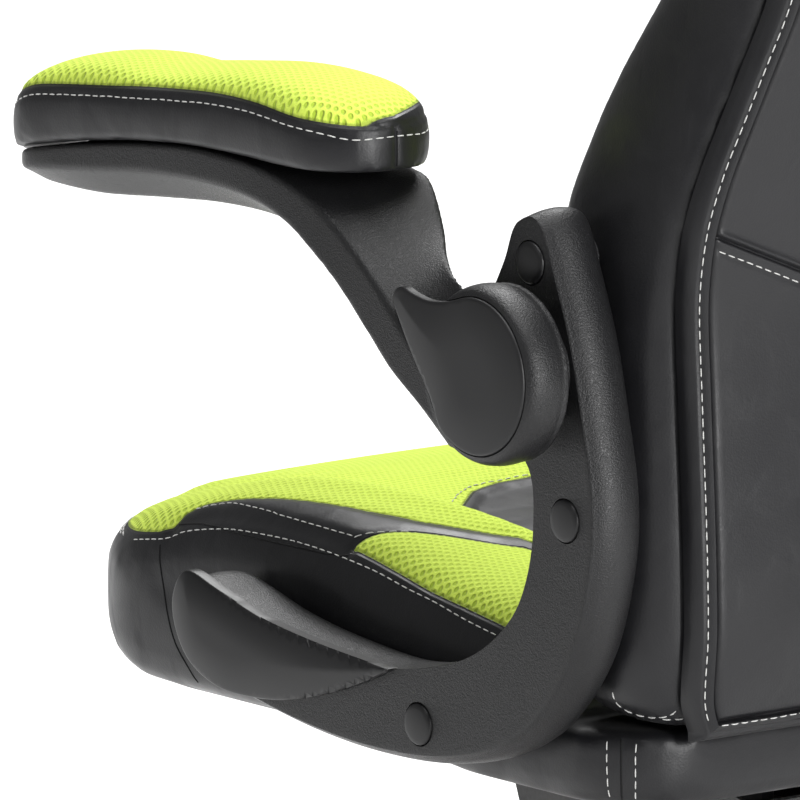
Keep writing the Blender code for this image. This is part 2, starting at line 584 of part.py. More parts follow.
def swinging_arm():
    """The arm without its hub, skinned over smoothed stations."""
    columns = [[], [], [], [], []]
    for outer_top, rear, band, under, outer, inner in ARM_STATIONS:
        for column, value in zip(columns, (outer_top, rear, band, under, (outer, inner))):
            column.append(Vector(value))
    steps = 2
    count = len(ARM_STATIONS)

    def smoothed(column, k, t):
        a, b, c, d = (column[min(max(k + j, 0), count - 1)] for j in (-1, 0, 1, 2))
        return 0.5 * (2 * b + (c - a) * t + (2 * a - 5 * b + 4 * c - d) * t ** 2 + (3 * b - a - 3 * c + d) * t ** 3)

    rings = []
    for k in range(count - 1):
        for step in range(steps + (k == count - 2)):
            top, rear, band, under, xs = (smoothed(column, k, step / steps) for column in columns)
            outer, inner = xs
            shoulder = top.lerp(rear, 0.35)
            ridge, keel = outer - min(0.014, 0.55 * (outer - inner)), outer - min(0.016, 0.62 * (outer - inner))
            rings.append([(outer, *top), (ridge, *shoulder), (inner, *rear), (inner, *under), (keel, *under),
                          (outer, *band)])
    return skin(rings)


def pad_body():
    """The arm pad: round-ended in plan, flat below and crowned on top."""
    stations = [(0.0, 0.35), (0.02, 0.62), (0.06, 0.85), (0.12, 0.97), (0.22, 1.0), (0.36, 1.0), (0.50, 1.0),
                (0.64, 1.0), (0.78, 1.0), (0.88, 0.97), (0.94, 0.85), (0.98, 0.62), (1.0, 0.35)]
    floor = [(-0.224, 0.6462), (-0.207, 0.6515), (-0.190, 0.6550), (-0.145, 0.6618), (-0.090, 0.6680),
             (-0.040, 0.6704), (0.005, 0.6695), (0.050, 0.6682), (0.088, 0.6690)]
    crown = [(-0.224, 0.678), (-0.200, 0.696), (-0.165, 0.707), (-0.120, 0.7115), (-0.085, 0.710), (-0.045, 0.714),
             (0.000, 0.718), (0.040, 0.716), (0.070, 0.709), (0.088, 0.700)]
    rings = []
    for share, width in stations:
        y = PAD_Y[0] + share * (PAD_Y[1] - PAD_Y[0])
        low, high, half = along(floor, y) + GAP, along(crown, y), PAD_HALF * width
        tall = high - low
        right = [(0.0, low), (0.85 * half, low), (0.97 * half, low + 0.18 * tall), (half, low + 0.45 * tall),
                 (0.93 * half, low + 0.72 * tall), (0.62 * half, low + 0.92 * tall), (0.0, high)]
        section = right + [(-x, z) for x, z in reversed(right[1:-1])]
        rings.append([(PAD_X + x, y, z) for x, z in section])
    return skin(rings)


def make_arm(side, label):
    hub_spot = (side * HUB_X[1], PIVOT_Y, PIVOT_Z)

    def hub_cylinder(radius, low, high, sides=ROUND):
        return across(cylinder(radius, low, high, sides), PIVOT_Y, PIVOT_Z)

    # Bracket: a C-shaped plate with chamfered faces, a round boss at the pivot and spacers on its inner side.
    loop = smooth_loop(BRACKET_OUTLINE, 2)
    chamfer = 0.004
    sections = [(grown(loop, -chamfer), BRACKET_X[0]), (loop, BRACKET_X[0] + chamfer),
                (loop, BRACKET_X[1] - chamfer), (grown(loop, -chamfer), BRACKET_X[1])]
    plate = skin([[(x, p.x, p.y) for p in ring] for ring, x in sections])
    boss = hub_cylinder(BOSS_RADIUS, BRACKET_X[0] + 0.006, HUB_X[0] - 0.0015)
    spacers = [across(cylinder(0.0125, SEAT_HALF + GAP, BRACKET_X[0] + 0.002, 16), *spot)
               for spot in [*PLUGS.values(), FRONT_SPACER]]
    recesses = [across(cylinder(PLUG_R + 0.0005, BRACKET_X[1] - 0.004, BRACKET_X[1] + 0.01, 20), *spot)
                for spot in PLUGS.values()]
    bore = hub_cylinder(0.0082, 0.262, 0.32, 16)
    place(f"arm_bracket_{label}", moved(joined(plate, [boss, *spacers], [*recesses, bore]), side=side), NYLON)

    for spot_label, (y, z) in PLUGS.items():
        plug = turned([(0, BRACKET_X[1] - 0.0037), (PLUG_R, BRACKET_X[1] - 0.0037), (PLUG_R, BRACKET_X[1] + 0.0002),
                       (0.008, BRACKET_X[1] + 0.0012), (0, BRACKET_X[1] + 0.0016)], 20)
        place(f"bracket_plug_{spot_label}_{label}", across(plug, y, z, side), NYLON)
    cover = [Vector(p) for p in SEAT_COVER_OUTLINE]
    leaf = smooth_loop(cover, 2)
    face = BRACKET_X[1] + GAP
    sections = [(leaf, face), (leaf, face + 0.0035), (grown(leaf, -0.002), face + 0.0050)]
    place(f"seat_leaf_cover_{label}", moved(skin([[(x, p.x, p.y) for p in ring] for ring, x in sections]), side=side),
          NYLON)

    # Swinging arm: tapered limb, hub, pocket for the cap and counterbore for the pivot bolt.
    hub = across(turned([(0, HUB_X[0]), (HUB_RADIUS - 0.002, HUB_X[0]), (HUB_RADIUS, HUB_X[0] + 0.002),
                         (HUB_RADIUS, HUB_X[1] - 0.004), (HUB_RADIUS - 0.004, HUB_X[1]), (0, HUB_X[1])], 36),
                 PIVOT_Y, PIVOT_Z)
    cap = hub_cap_outline()
    pocket = prism(grown(cap, 0.0006), CAP_FLOOR, HUB_X[1] + 0.02)
    bores = [hub_cylinder(0.0082, 0.29, 0.33, 16), hub_cylinder(0.0135, 0.3170, 0.34, 16)]
    place(f"flip_arm_{label}", moved(joined(swinging_arm(), [hub], [pocket, *bores]), side=side), NYLON, hub_spot)
    sections = [(cap, CAP_FLOOR + GAP), (cap, HUB_X[1] - 0.0005), (grown(cap, -0.003), HUB_X[1] + 0.0010)]
    place(f"hub_leaf_cap_{label}", moved(skin([[(x, p.x, p.y) for p in ring] for ring, x in sections]), side=side),
          NYLON, hub_spot)
    bolt = turned([(0, 0.2625), (0.0077, 0.2625), (0.0077, 0.3173), (0.0125, 0.3173), (0.0125, 0.3235), (0, 0.3235)],
                  16)
    place(f"arm_pivot_bolt_{label}", across(bolt, PIVOT_Y, PIVOT_Z, side), STEEL, hub_spot)
    place(f"arm_pad_{label}", moved(pad_body(), side=side), MESH_GREEN, hub_spot)


def main():
    for obj in list(bpy.data.objects):
        bpy.data.objects.remove(obj)
    make_base()
    make_casters()
    make_gas_lift()
    make_tilt_housing()
    make_release()
    make_seat_plate()
    make_tension()
    make_seat()
    make_back()
    make_arm(1, "left")
    make_arm(-1, "right")


main()
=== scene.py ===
"""Looks of the gaming chair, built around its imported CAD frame.

Units are metres, +Z is up, the sitter faces -Y and the sitter's left is +X. Every piece is modelled in
place, in the chair's own frame, and then rides on its body. The sizes repeat those of the CAD model.
"""
import json
import math

import bmesh
import bpy
import numpy as np
from mathutils import Matrix, Vector
from mathutils.bvhtree import BVHTree
from mathutils.geometry import delaunay_2d_cdt


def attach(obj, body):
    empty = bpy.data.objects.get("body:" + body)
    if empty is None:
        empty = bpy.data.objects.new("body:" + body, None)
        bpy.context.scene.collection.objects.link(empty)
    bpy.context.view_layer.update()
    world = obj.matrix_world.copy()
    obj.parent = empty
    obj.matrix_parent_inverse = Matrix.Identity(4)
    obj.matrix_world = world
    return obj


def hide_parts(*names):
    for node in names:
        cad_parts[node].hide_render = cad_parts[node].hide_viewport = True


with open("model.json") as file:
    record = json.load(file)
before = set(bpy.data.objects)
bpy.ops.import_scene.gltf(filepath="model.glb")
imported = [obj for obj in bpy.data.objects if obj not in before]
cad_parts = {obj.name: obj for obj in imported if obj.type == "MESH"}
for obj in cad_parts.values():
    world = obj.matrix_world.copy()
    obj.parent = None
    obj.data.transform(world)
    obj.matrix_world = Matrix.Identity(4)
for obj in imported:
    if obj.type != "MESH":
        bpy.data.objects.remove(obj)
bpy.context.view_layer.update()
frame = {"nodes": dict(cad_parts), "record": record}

# ---------------------------------------------------------------- sizes, as in the CAD model

GAP = 0.0003

LEGS = 5
STEM_CIRCLE = 0.335
HUB_R = 0.036
HUB_Z = (0.062, 0.118)
WHEEL_R = 0.0265
WHEEL_IN, WHEEL_OUT = 0.0074, 0.0238
CASTER_TRAIL = 0.018
HOOD_TOP = 0.0570

LEVER_Y, LEVER_Z = -0.036, 0.297
BOLT_Y = -0.100

SEAT_HALF = 0.2540
SEAT_Y = (-0.310, 0.215)
LEDGE_Y, LEDGE_Z = 0.128, 0.3805
PAN_TOP = 0.3555

BACK_FOOT, BACK_TOP = 0.3815, 1.165

BRACKET_X = (0.258, 0.290)
HUB_X = (0.3035, 0.330)
PIVOT_Y, PIVOT_Z = 0.180, 0.575
BOSS_RADIUS = 0.0290
CAP_FLOOR = 0.3255
PAD_HALF, PAD_X = 0.0425, 0.3075
PAD_Y = (-0.224, 0.088)

# the bracket's outline, (Y, Z): down its rear, forward along its foot, then back along the opening
BRACKET_REAR = [
    (0.176, 0.6575), (0.189, 0.6530), (0.201, 0.627), (0.214, 0.593), (0.224, 0.554), (0.232, 0.514),
    (0.231, 0.478), (0.219, 0.435), (0.201, 0.405), (0.176, 0.380), (0.143, 0.363), (0.096, 0.352),
    (0.046, 0.349), (-0.001, 0.351), (-0.048, 0.357), (-0.091, 0.366), (-0.117, 0.380), (-0.126, 0.404),
]
BRACKET_OPENING = [
    (-0.114, 0.424), (-0.089, 0.420), (-0.050, 0.410), (0.000, 0.403), (0.055, 0.400), (0.101, 0.408),
    (0.134, 0.421), (0.160, 0.442), (0.173, 0.466), (0.178, 0.495), (0.174, 0.522), (0.150, 0.540),
    (0.135, 0.562), (0.134, 0.588), (0.143, 0.610), (0.154, 0.630), (0.162, 0.648),
]
SEAT_COVER_OUTLINE = [
    (-0.116, 0.427), (-0.089, 0.421), (-0.050, 0.411), (0.000, 0.4045), (0.050, 0.4005), (0.060, 0.398),
    (0.017, 0.381), (-0.023, 0.370), (-0.056, 0.366), (-0.088, 0.367), (-0.113, 0.377), (-0.126, 0.394),
    (-0.128, 0.412),
]
PLUGS = {"top": (0.176, 0.630), "back": (0.205, 0.499), "seat": (0.083, 0.373)}
FRONT_SPACER = (-0.070, 0.390)
PLUG_R = 0.0112

# stations of the swinging arm, tip first: (Y, Z) of the outer top edge, of the rear or inner top edge, of the
# lower edge of the side band and of the underside, then the outer and inner X
ARM_STATIONS = [
    ((-0.2200, 0.6455), (-0.2200, 0.6455), (-0.2200, 0.6425), (-0.2200, 0.6395), 0.3165, 0.2985),
    ((-0.2152, 0.6475), (-0.2152, 0.6475), (-0.2152, 0.6410), (-0.2152, 0.6362), 0.3279, 0.2871),
    ((-0.2050, 0.6508), (-0.2050, 0.6508), (-0.2050, 0.6412), (-0.2050, 0.6338), 0.3371, 0.2779),
    ((-0.1880, 0.6545), (-0.1880, 0.6545), (-0.1880, 0.6435), (-0.1870, 0.6330), 0.3422, 0.2728),
    ((-0.1450, 0.6610), (-0.1450, 0.6610), (-0.1450, 0.6475), (-0.1450, 0.6325), 0.343, 0.272),
    ((-0.0900, 0.6675), (-0.0900, 0.6675), (-0.0900, 0.6525), (-0.0900, 0.6365), 0.343, 0.272),
    ((-0.0400, 0.6700), (-0.0400, 0.6700), (-0.0400, 0.6535), (-0.0400, 0.6395), 0.343, 0.272),
    ((0.0050, 0.6668), (0.0250, 0.6668), (0.0020, 0.6495), (0.0020, 0.6385), 0.342, 0.272),
    ((0.0330, 0.6590), (0.0610, 0.6640), (0.0300, 0.6395), (0.0300, 0.6330), 0.339, 0.272),
    ((0.0550, 0.6485), (0.0770, 0.6580), (0.0515, 0.6240), (0.0520, 0.6220), 0.336, 0.275),
    ((0.0760, 0.6330), (0.0955, 0.6390), (0.0690, 0.6085), (0.0695, 0.6075), 0.333, 0.282),
    ((0.0980, 0.6130), (0.1110, 0.6270), (0.0895, 0.5880), (0.0900, 0.5870), 0.331, 0.292),
    ((0.1180, 0.5930), (0.1270, 0.6190), (0.1090, 0.5695), (0.1095, 0.5690), 0.330, 0.300),
    ((0.1430, 0.5700), (0.1450, 0.6135), (0.1340, 0.5525), (0.1340, 0.5520), 0.3295, 0.3037),
    ((0.1650, 0.5650), (0.1680, 0.6130), (0.1580, 0.5345), (0.1580, 0.5340), 0.3290, 0.3037),
]

# the backrest by height: half width of the cushion and of the groove round its rear panel, then depths
BACK_HALF_WIDTH = [(0.3815, 0.236), (0.400, 0.250), (0.440, 0.254), (0.620, 0.254), (0.680, 0.246),
                   (0.770, 0.226), (0.840, 0.222), (0.920, 0.236), (0.985, 0.228), (1.050, 0.186),
                   (1.110, 0.168), (1.150, 0.150), (1.165, 0.118)]
GROOVE_HALF = [(0.3815, 0.219), (0.400, 0.227), (0.441, 0.230), (0.560, 0.2345), (0.645, 0.2400),
               (0.678, 0.2365), (0.706, 0.230), (0.730, 0.2245), (0.770, 0.216), (0.840, 0.2115),
               (0.920, 0.225), (0.985, 0.217), (1.050, 0.176), (1.110, 0.158), (1.145, 0.138), (1.158, 0.110)]
BACK_REAR_Y = [(0.3815, 0.236), (0.440, 0.2455), (0.600, 0.2460), (0.660, 0.258), (0.770, 0.292),
               (0.850, 0.319), (0.950, 0.346), (1.050, 0.366), (1.165, 0.378)]
BACK_WING_Y = [(0.3815, 0.150), (0.440, 0.138), (0.600, 0.130), (0.650, 0.131), (0.683, 0.1415),
               (0.714, 0.153), (0.742, 0.167), (0.770, 0.184), (0.850, 0.222), (0.950, 0.256), (1.050, 0.286),
               (1.120, 0.304), (1.165, 0.326)]
BACK_MIDDLE_DEPTH = [(0.3815, 0.000), (0.500, 0.004), (0.650, 0.016), (0.900, 0.024), (1.020, 0.006),
                     (1.120, -0.004), (1.165, 0.002)]

# ---------------------------------------------------------------- colours

LIME = (0.660, 0.830, 0.105)
# LIME_DARK darkens the yarn and is also the painted shade in the mesh's holes
LIME_DARK = (0.320, 0.460, 0.022)
LEATHER = (0.0072, 0.0072, 0.0084)
NYLON = (0.0078, 0.0078, 0.0084)
THREAD = (0.62, 0.62, 0.60)
SPECULAR = 0.36     # of every black surface
SHEEN = 0.03        # of the cover


# ---------------------------------------------------------------- curves

def along(keys, x):
    """Smooth value at x of a curve through the (x, value) keys."""
    if x <= keys[0][0]:
        return keys[0][1]
    for k in range(len(keys) - 1):
        (x0, v0), (x1, v1) = keys[k], keys[k + 1]
        if x > x1:
            continue
        before, after = keys[max(k - 1, 0)], keys[min(k + 2, len(keys) - 1)]
        slope0 = (v1 - before[1]) / (x1 - before[0])
        slope1 = (after[1] - v0) / (after[0] - x0)
        span = x1 - x0
        t = (x - x0) / span
        return ((2 * t ** 3 - 3 * t ** 2 + 1) * v0 + (t ** 3 - 2 * t ** 2 + t) * span * slope0
                + (3 * t ** 2 - 2 * t ** 3) * v1 + (t ** 3 - t ** 2) * span * slope1)
    return keys[-1][1]


def table_along(keys, low, high, steps=400):
    """A fast reader of a curve through keys: it takes an array and gives an array."""
    xs = np.linspace(low, high, steps)
    values = np.array([along(keys, x) for x in xs])
    return lambda x: np.interp(x, xs, values)


def between(a, b, c, d, t):
    """Catmull-Rom from b to c."""
    return 0.5 * (2 * b + (c - a) * t + (2 * a - 5 * b + 4 * c - d) * t ** 2 + (3 * b - a - 3 * c + d) * t ** 3)


def smooth_loop(points, steps):
    """The closed curve through the points, with this many steps from each one to the next."""
    count = len(points)
    return [between(*(Vector(points[(k + j) % count]) for j in (-1, 0, 1, 2)), step / steps)
            for k in range(count) for step in range(steps)]


def smooth_path(points, steps=8):
    """The open curve through the points."""
    last = len(points) - 1
    made = [between(*(Vector(points[min(max(k + j, 0), last)]) for j in (-1, 0, 1, 2)), step / steps)
            for k in range(last) for step in range(steps)]
    return made + [Vector(points[-1])]


def evenly(points, spacing):
    """Points at even steps of length along a path."""
    spots = np.array([tuple(p) for p in points])
    lengths = np.concatenate([[0], np.cumsum(np.linalg.norm(np.diff(spots, axis=0), axis=1))])
    count = max(2, int(lengths[-1] / spacing))
    at = np.linspace(0, lengths[-1], count + 1)
    columns = [np.interp(at, lengths, spots[:, k]) for k in range(spots.shape[1])]
    return [Vector(p) for p in np.stack(columns, 1)]


def grown(outline, by):
    """The closed outline moved outwards by a distance, or by one distance for each point."""
    count = len(outline)
    steps = [by] * count if isinstance(by, (int, float)) else by
    area = sum(outline[k].x * outline[(k + 1) % count].y - outline[(k + 1) % count].x * outline[k].y
               for k in range(count))
    turn = 1 if area > 0 else -1
    made = []
    for k, point in enumerate(outline):
        run = (outline[(k + 1) % count] - outline[k - 1]).normalized()
        made.append(point + Vector((run.y, -run.x)) * turn * steps[k])
    return made


def round_corner(before, corner, after, radius, most, steps):
    """Points round a corner, which start and end at most this share of the way to its neighbours."""
    corner = Vector(corner)
    ends = []
    for other in (Vector(before), Vector(after)):
        run = other - corner
        ends.append(corner + run * min(most, radius / max(run.length, 1e-6)))
    return [(1 - t) ** 2 * ends[0] + 2 * t * (1 - t) * corner + t ** 2 * ends[1]
            for t in (step / steps for step in range(steps + 1))]


def softened(ring, radius, steps=4):
    """A ring of corner points with each corner rounded off."""
    made = []
    for k, corner in enumerate(ring):
        made += round_corner(ring[k - 1], corner, ring[(k + 1) % len(ring)], radius, 0.46, steps)
    return made


def signed_distance(points, polygon):
    """Distance of (n, 2) points from a closed polygon's edge, positive inside it."""
    polygon = np.array(polygon, float)
    best = np.full(len(points), 1e9)
    inside = np.zeros(len(points), bool)
    for a, b in zip(polygon, np.roll(polygon, -1, axis=0)):
        edge, away = b - a, points - a
        share = np.clip(away @ edge / max(edge @ edge, 1e-12), 0, 1)
        best = np.minimum(best, np.linalg.norm(away - share[:, None] * edge, axis=1))
        rise = edge[1] if abs(edge[1]) > 1e-12 else 1e-12
        crosses = (a[1] > points[:, 1]) != (b[1] > points[:, 1])
        inside ^= crosses & (points[:, 0] < a[0] + (points[:, 1] - a[1]) * edge[0] / rise)
    return np.where(inside, best, -best)


def line_distance(points, path):
    """Distance of (n, 2) points from an open path."""
    best = np.full(len(points), 1e9)
    for a, b in zip(path, path[1:]):
        a, b = np.array(a[:2], float), np.array(b[:2], float)
        edge, away = b - a, points - a
        share = np.clip(away @ edge / max(edge @ edge, 1e-12), 0, 1)
        best = np.minimum(best, np.linalg.norm(away - share[:, None] * edge, axis=1))
    return best


def eased(t):
    t = np.clip(t, 0, 1)
    return t * t * (3 - 2 * t)


# ---------------------------------------------------------------- bodies

def lofted(bm, rows):
    """Faces in bm from each ring of vertices to the next, with both ends closed."""
    for low, high in zip(rows, rows[1:]):
        count = len(low)
        for k in range(count):
            n = (k + 1) % count
            bm.faces.new((low[k], low[n], high[n], high[k]))
    bm.faces.new(rows[0])
    bm.faces.new(rows[-1])


def skin(rings):
    """A surface through rings of points, which all hold the same number, with its ends closed."""
    bm = bmesh.new()
    lofted(bm, [[bm.verts.new(p) for p in ring] for ring in rings])
    bmesh.ops.recalc_face_normals(bm, faces=bm.faces)
    return bm


def turned(profile, sides=64, tube=False):
    """A body turned about Z from (radius, height) points; a tube's profile closes on itself."""
    bm = bmesh.new()
    rows = []
    for radius, height in profile:
        if radius < 1e-7:
            rows.append([bm.verts.new((0, 0, height))] * sides)
            continue
        rows.append([bm.verts.new((radius * math.cos(2 * math.pi * k / sides),
                                   radius * math.sin(2 * math.pi * k / sides), height)) for k in range(sides)])
    for low, high in list(zip(rows, rows[1:])) + ([(rows[-1], rows[0])] if tube else []):
        for k in range(sides):
            n = (k + 1) % sides
            corners = []
            for corner in (low[k], low[n], high[n], high[k]):
                if corner not in corners:
                    corners.append(corner)
            if len(corners) > 2:
                bm.faces.new(corners)
    bmesh.ops.recalc_face_normals(bm, faces=bm.faces)
    return bm


def eased_profile(corners, radius=0.001, steps=3):
    """A profile of (radius, height) corners with each inner corner rounded off."""
    made = [Vector(corners[0])]
    for before, corner, after in zip(corners, corners[1:], corners[2:]):
        made += round_corner(before, corner, after, radius, 0.45, steps)
    return [tuple(p) for p in made + [Vector(corners[-1])]]


def cylinder(radius, low, high, sides=48):
    return turned([(0, low), (radius, low), (radius, high), (0, high)], sides)


def box(low, high):
    bm = bmesh.new()
    bmesh.ops.create_cube(bm, size=1.0)
    low, high = Vector(low), Vector(high)
    for vertex in bm.verts:
        vertex.co = Vector([low[k] if vertex.co[k] < 0 else high[k] for k in range(3)])
    return bm


def moved(bm, offset=(0, 0, 0), turn=None, side=1):
    """The body turned, shifted and, for the right-hand side, mirrored in X."""
    bm.transform(Matrix.Diagonal((side, 1, 1, 1)) @ Matrix.Translation(offset) @ (turn or Matrix.Identity(4)))
    if side < 0:
        bmesh.ops.reverse_faces(bm, faces=bm.faces)
    return bm


def across(bm, y, z, side=1):
    """A body turned about Z, laid along X through (y, z)."""
    return moved(bm, (0, y, z), Matrix.Rotation(math.radians(90), 4, "Y"), side)


def placed(name, data):
    """A new object in the scene."""
    made = bpy.data.objects.new(name, data)
    bpy.context.scene.collection.objects.link(made)
    return made


def loose(bm, name="helper"):
    """An object that holds the body, not yet finished."""
    mesh = bpy.data.meshes.new(name)
    bm.to_mesh(mesh)
    bm.free()
    return placed(name, mesh)


def settle(obj):
    """The object with its modifiers applied."""
    bpy.context.view_layer.update()
    mesh = bpy.data.meshes.new_from_object(obj.evaluated_get(bpy.context.evaluated_depsgraph_get()))
    obj.modifiers.clear()
    old, obj.data = obj.data, mesh
    bpy.data.meshes.remove(old)
    return obj


def joined(obj, adds=(), cuts=()):
    """The object with other bodies joined to it and then others cut from it."""
    helpers = []
    for bodies, operation in ((adds, "UNION"), (cuts, "DIFFERENCE")):
        for body in bodies:
            helpers.append(loose(body))
            modifier = obj.modifiers.new(operation, "BOOLEAN")
            modifier.operation = operation
            modifier.object = helpers[-1]
    settle(obj)
    for helper in helpers:
        bpy.data.objects.remove(helper)
    return obj


def mirror(obj, side):
    """Mirrors the object in X for the right-hand side."""
    if side < 0:
        obj.data.transform(Matrix.Diagonal((-1, 1, 1, 1)))
        obj.data.flip_normals()


def remeshed(obj, voxel, smoothing=0):
    """The object's surface as even quads, with its creases softened by a few passes of smoothing."""
    modifier = obj.modifiers.new("even", "REMESH")
    modifier.mode = "VOXEL"
    modifier.voxel_size = voxel
    if smoothing:
        smooth = obj.modifiers.new("soft", "SMOOTH")
        smooth.factor = 0.5
        smooth.iterations = smoothing
    return settle(obj)


def coordinates(obj):
    co = np.empty(len(obj.data.vertices) * 3, np.float32)
    obj.data.vertices.foreach_get("co", co)
    return co.reshape(-1, 3).astype(float)


def normals(obj):
    found = np.empty(len(obj.data.vertices) * 3, np.float32)
    obj.data.vertices.foreach_get("normal", found)
    return found.reshape(-1, 3).astype(float)


def write(obj, co):
    obj.data.vertices.foreach_set("co", co.astype(np.float32).reshape(-1))
    obj.data.update()


def finished(obj, name, finish, body, replaces=(), sharp=35):
    """Names the object, shades it, gives it its material and lets it ride on its body."""
    obj.name = name
    obj.data.name = name
    obj.data.shade_smooth()
    if sharp:
        obj.data.set_sharp_from_angle(angle=math.radians(sharp))
    obj.data.materials.clear()
    obj.data.materials.append(finish)
    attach(obj, body)
    if replaces:
        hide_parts(*([replaces] if isinstance(replaces, str) else replaces))
    return obj


def show(bm, name, finish, body, replaces=(), sharp=35):
    return finished(loose(bm), name, finish, body, replaces, sharp)


# ---------------------------------------------------------------- materials

class Surface:
    """A Principled material. Its helpers take sockets or plain values and give sockets."""

    def __init__(self, name, **settings):
        self.material = bpy.data.materials.new(name)
        self.material.use_nodes = True
        self.tree = self.material.node_tree
        self.shader = self.tree.nodes["Principled BSDF"]
        for socket, value in settings.items():
            self.set(self.shader.inputs[socket.replace("_", " ")], value)
        self.where = self.tree.nodes.new("ShaderNodeTexCoord").outputs["Object"]

    def set(self, socket, value):
        if isinstance(value, bpy.types.NodeSocket):
            self.tree.links.new(value, socket)
        elif isinstance(value, tuple) and socket.type == "RGBA":
            socket.default_value = (*value, 1)
        else:
            socket.default_value = value

    def node(self, kind, output, settings=(), **inputs):
        made = self.tree.nodes.new(kind)
        for key, value in dict(settings).items():
            setattr(made, key, value)
        for key, value in inputs.items():
            self.set(made.inputs[key.replace("_", " ")], value)
        return made.outputs[output]

    def math(self, operation, a, b=0.0):
        made = self.tree.nodes.new("ShaderNodeMath")
        made.operation = operation
        self.set(made.inputs[0], a)
        self.set(made.inputs[1], b)
        return made.outputs[0]

    def part(self, axis):
        return self.node("ShaderNodeSeparateXYZ", axis, Vector=self.where)

    def stretched(self, x, y, z):
        return self.node("ShaderNodeMapping", "Vector", Vector=self.where, Scale=(x, y, z))

    def noise(self, scale, detail=2.0, roughness=0.5, distortion=0.0, vector=None):
        return self.node("ShaderNodeTexNoise", "Fac", Vector=vector or self.where, Scale=scale, Detail=detail,
                         Roughness=roughness, Distortion=distortion)

    def cells(self, scale):
        return self.node("ShaderNodeTexVoronoi", "Distance", Vector=self.where, Scale=scale)

    def range(self, value, low, high, to_low=0.0, to_high=1.0):
        return self.node("ShaderNodeMapRange", "Result", {"interpolation_type": "SMOOTHSTEP"}, Value=value,
                         From_Min=low, From_Max=high, To_Min=to_low, To_Max=to_high)

    def mix(self, factor, a, b):
        made = self.tree.nodes.new("ShaderNodeMix")
        made.data_type = "RGBA"
        self.set(made.inputs["Factor"], factor)
        self.set(made.inputs[6], a)
        self.set(made.inputs[7], b)
        return made.outputs[2]

    def blend(self, factor, a, b):
        made = self.tree.nodes.new("ShaderNodeMix")
        self.set(made.inputs["Factor"], factor)
        self.set(made.inputs[2], a)
        self.set(made.inputs[3], b)
        return made.outputs[0]

    def stored(self, name):
        return self.node("ShaderNodeAttribute", "Fac", {"attribute_name": name})

    def bump(self, height, distance):
        return self.node("ShaderNodeBump", "Normal", Strength=1.0, Distance=distance, Height=height)

    def finish(self, colour=None, roughness=None, normal=None):
        for socket, value in (("Base Color", colour), ("Roughness", roughness), ("Normal", normal)):
            if value is not None:
                self.set(self.shader.inputs[socket], value)
        return self.material


def grained_nylon():
    """Moulded nylon with a fine spark texture, so that its highlights break into specks."""
    s = Surface("grained nylon", Specular_IOR_Level=SPECULAR)
    fine, coarse = s.noise(1150, 2.0, 0.6), s.noise(420, 1.0)
    height = s.math("ADD", s.range(fine, 0.34, 0.66), s.math("MULTIPLY", coarse, 0.7))
    worn = s.noise(9, 3.0)
    colour = s.mix(s.range(worn, 0.35, 0.7), NYLON, tuple(1.25 * c for c in NYLON))
    return s.finish(colour, s.range(fine, 0.3, 0.7, 0.32, 0.44), s.bump(height, 0.0001))


def satin_nylon():
    """Smoother moulded plastic of caps and covers."""
    s = Surface("satin nylon", Specular_IOR_Level=SPECULAR)
    fine, drift = s.noise(1500, 1.0), s.noise(14, 3.0)
    colour = s.mix(s.range(drift, 0.3, 0.75), tuple(0.9 * c for c in NYLON), tuple(1.2 * c for c in NYLON))
    return s.finish(colour, s.range(drift, 0.3, 0.7, 0.36, 0.44), s.bump(fine, 0.000012))


def leather_parts(s):
    """(colour, roughness, height in metres) of the leather-like cover."""
    pebbles, pores = s.cells(820), s.noise(1500, 2.0)
    creases = s.noise(38, 2.5, 0.5, 0.3)
    tone = s.noise(7, 3.0)
    colour = s.mix(s.range(tone, 0.3, 0.75), LEATHER, tuple(1.35 * c for c in LEATHER))
    rough = s.range(creases, 0.3, 0.7, 0.34, 0.46)
    height = s.math("ADD", s.math("MULTIPLY", pebbles, 0.00005), s.math("MULTIPLY", pores, 0.000012))
    height = s.math("ADD", height, s.math("MULTIPLY", s.range(creases, 0.42, 0.66), 0.00016))
    return colour, rough, height


def leather():
    s = Surface("black leather", Specular_IOR_Level=SPECULAR, Sheen_Weight=SHEEN, Sheen_Roughness=0.4)
    colour, rough, height = leather_parts(s)
    return s.finish(colour, rough, s.bump(height, 1.0))


def mesh_parts(s, a, b, pitch=0.0042):
    """(colour, roughness, height in metres) of the spacer mesh, with holes on a hexagonal lattice in (a, b)."""
    def cell(shift):
        u = s.math("SUBTRACT", s.math("FRACT", s.math("ADD", s.math("DIVIDE", a, pitch), shift)), 0.5)
        v = s.math("SUBTRACT", s.math("FRACT", s.math("ADD", s.math("DIVIDE", b, 1.732 * pitch), shift)), 0.5)
        v = s.math("MULTIPLY", v, 1.732)
        return s.math("SQRT", s.math("ADD", s.math("MULTIPLY", u, u), s.math("MULTIPLY", v, v)))

    from_hole = s.math("MINIMUM", cell(0.0), cell(0.5))
    # the holes are sunk and darkened towards LIME_DARK; the darkening is painted shade inside them, made weaker
    # where the surface faces up as painted light from above
    rise = s.node("ShaderNodeSeparateXYZ", "Z", Vector=s.node("ShaderNodeNewGeometry", "Normal"))
    share_by_facing = s.range(rise, 0.70, 0.97, 0.95, 0.42)
    hole_and_shade = s.math("MULTIPLY", s.range(from_hole, 0.40, 0.16), share_by_facing)
    yarn = s.noise(2600, 2.0, 0.7, 0.0, s.stretched(1.0, 0.35, 1.0))
    tone = s.noise(11, 2.0)
    lit = s.mix(s.range(tone, 0.3, 0.7), LIME, tuple(0.93 * c for c in LIME))
    lit = s.mix(s.math("MULTIPLY", s.range(yarn, 0.35, 0.6, 1.0, 0.0), 0.30), lit, LIME_DARK)
    colour = s.mix(s.math("MULTIPLY", hole_and_shade, 0.85), lit, LIME_DARK)
    height = s.math("ADD", s.math("MULTIPLY", hole_and_shade, -0.0011), s.math("MULTIPLY", yarn, 0.00012))
    return colour, 0.82, height


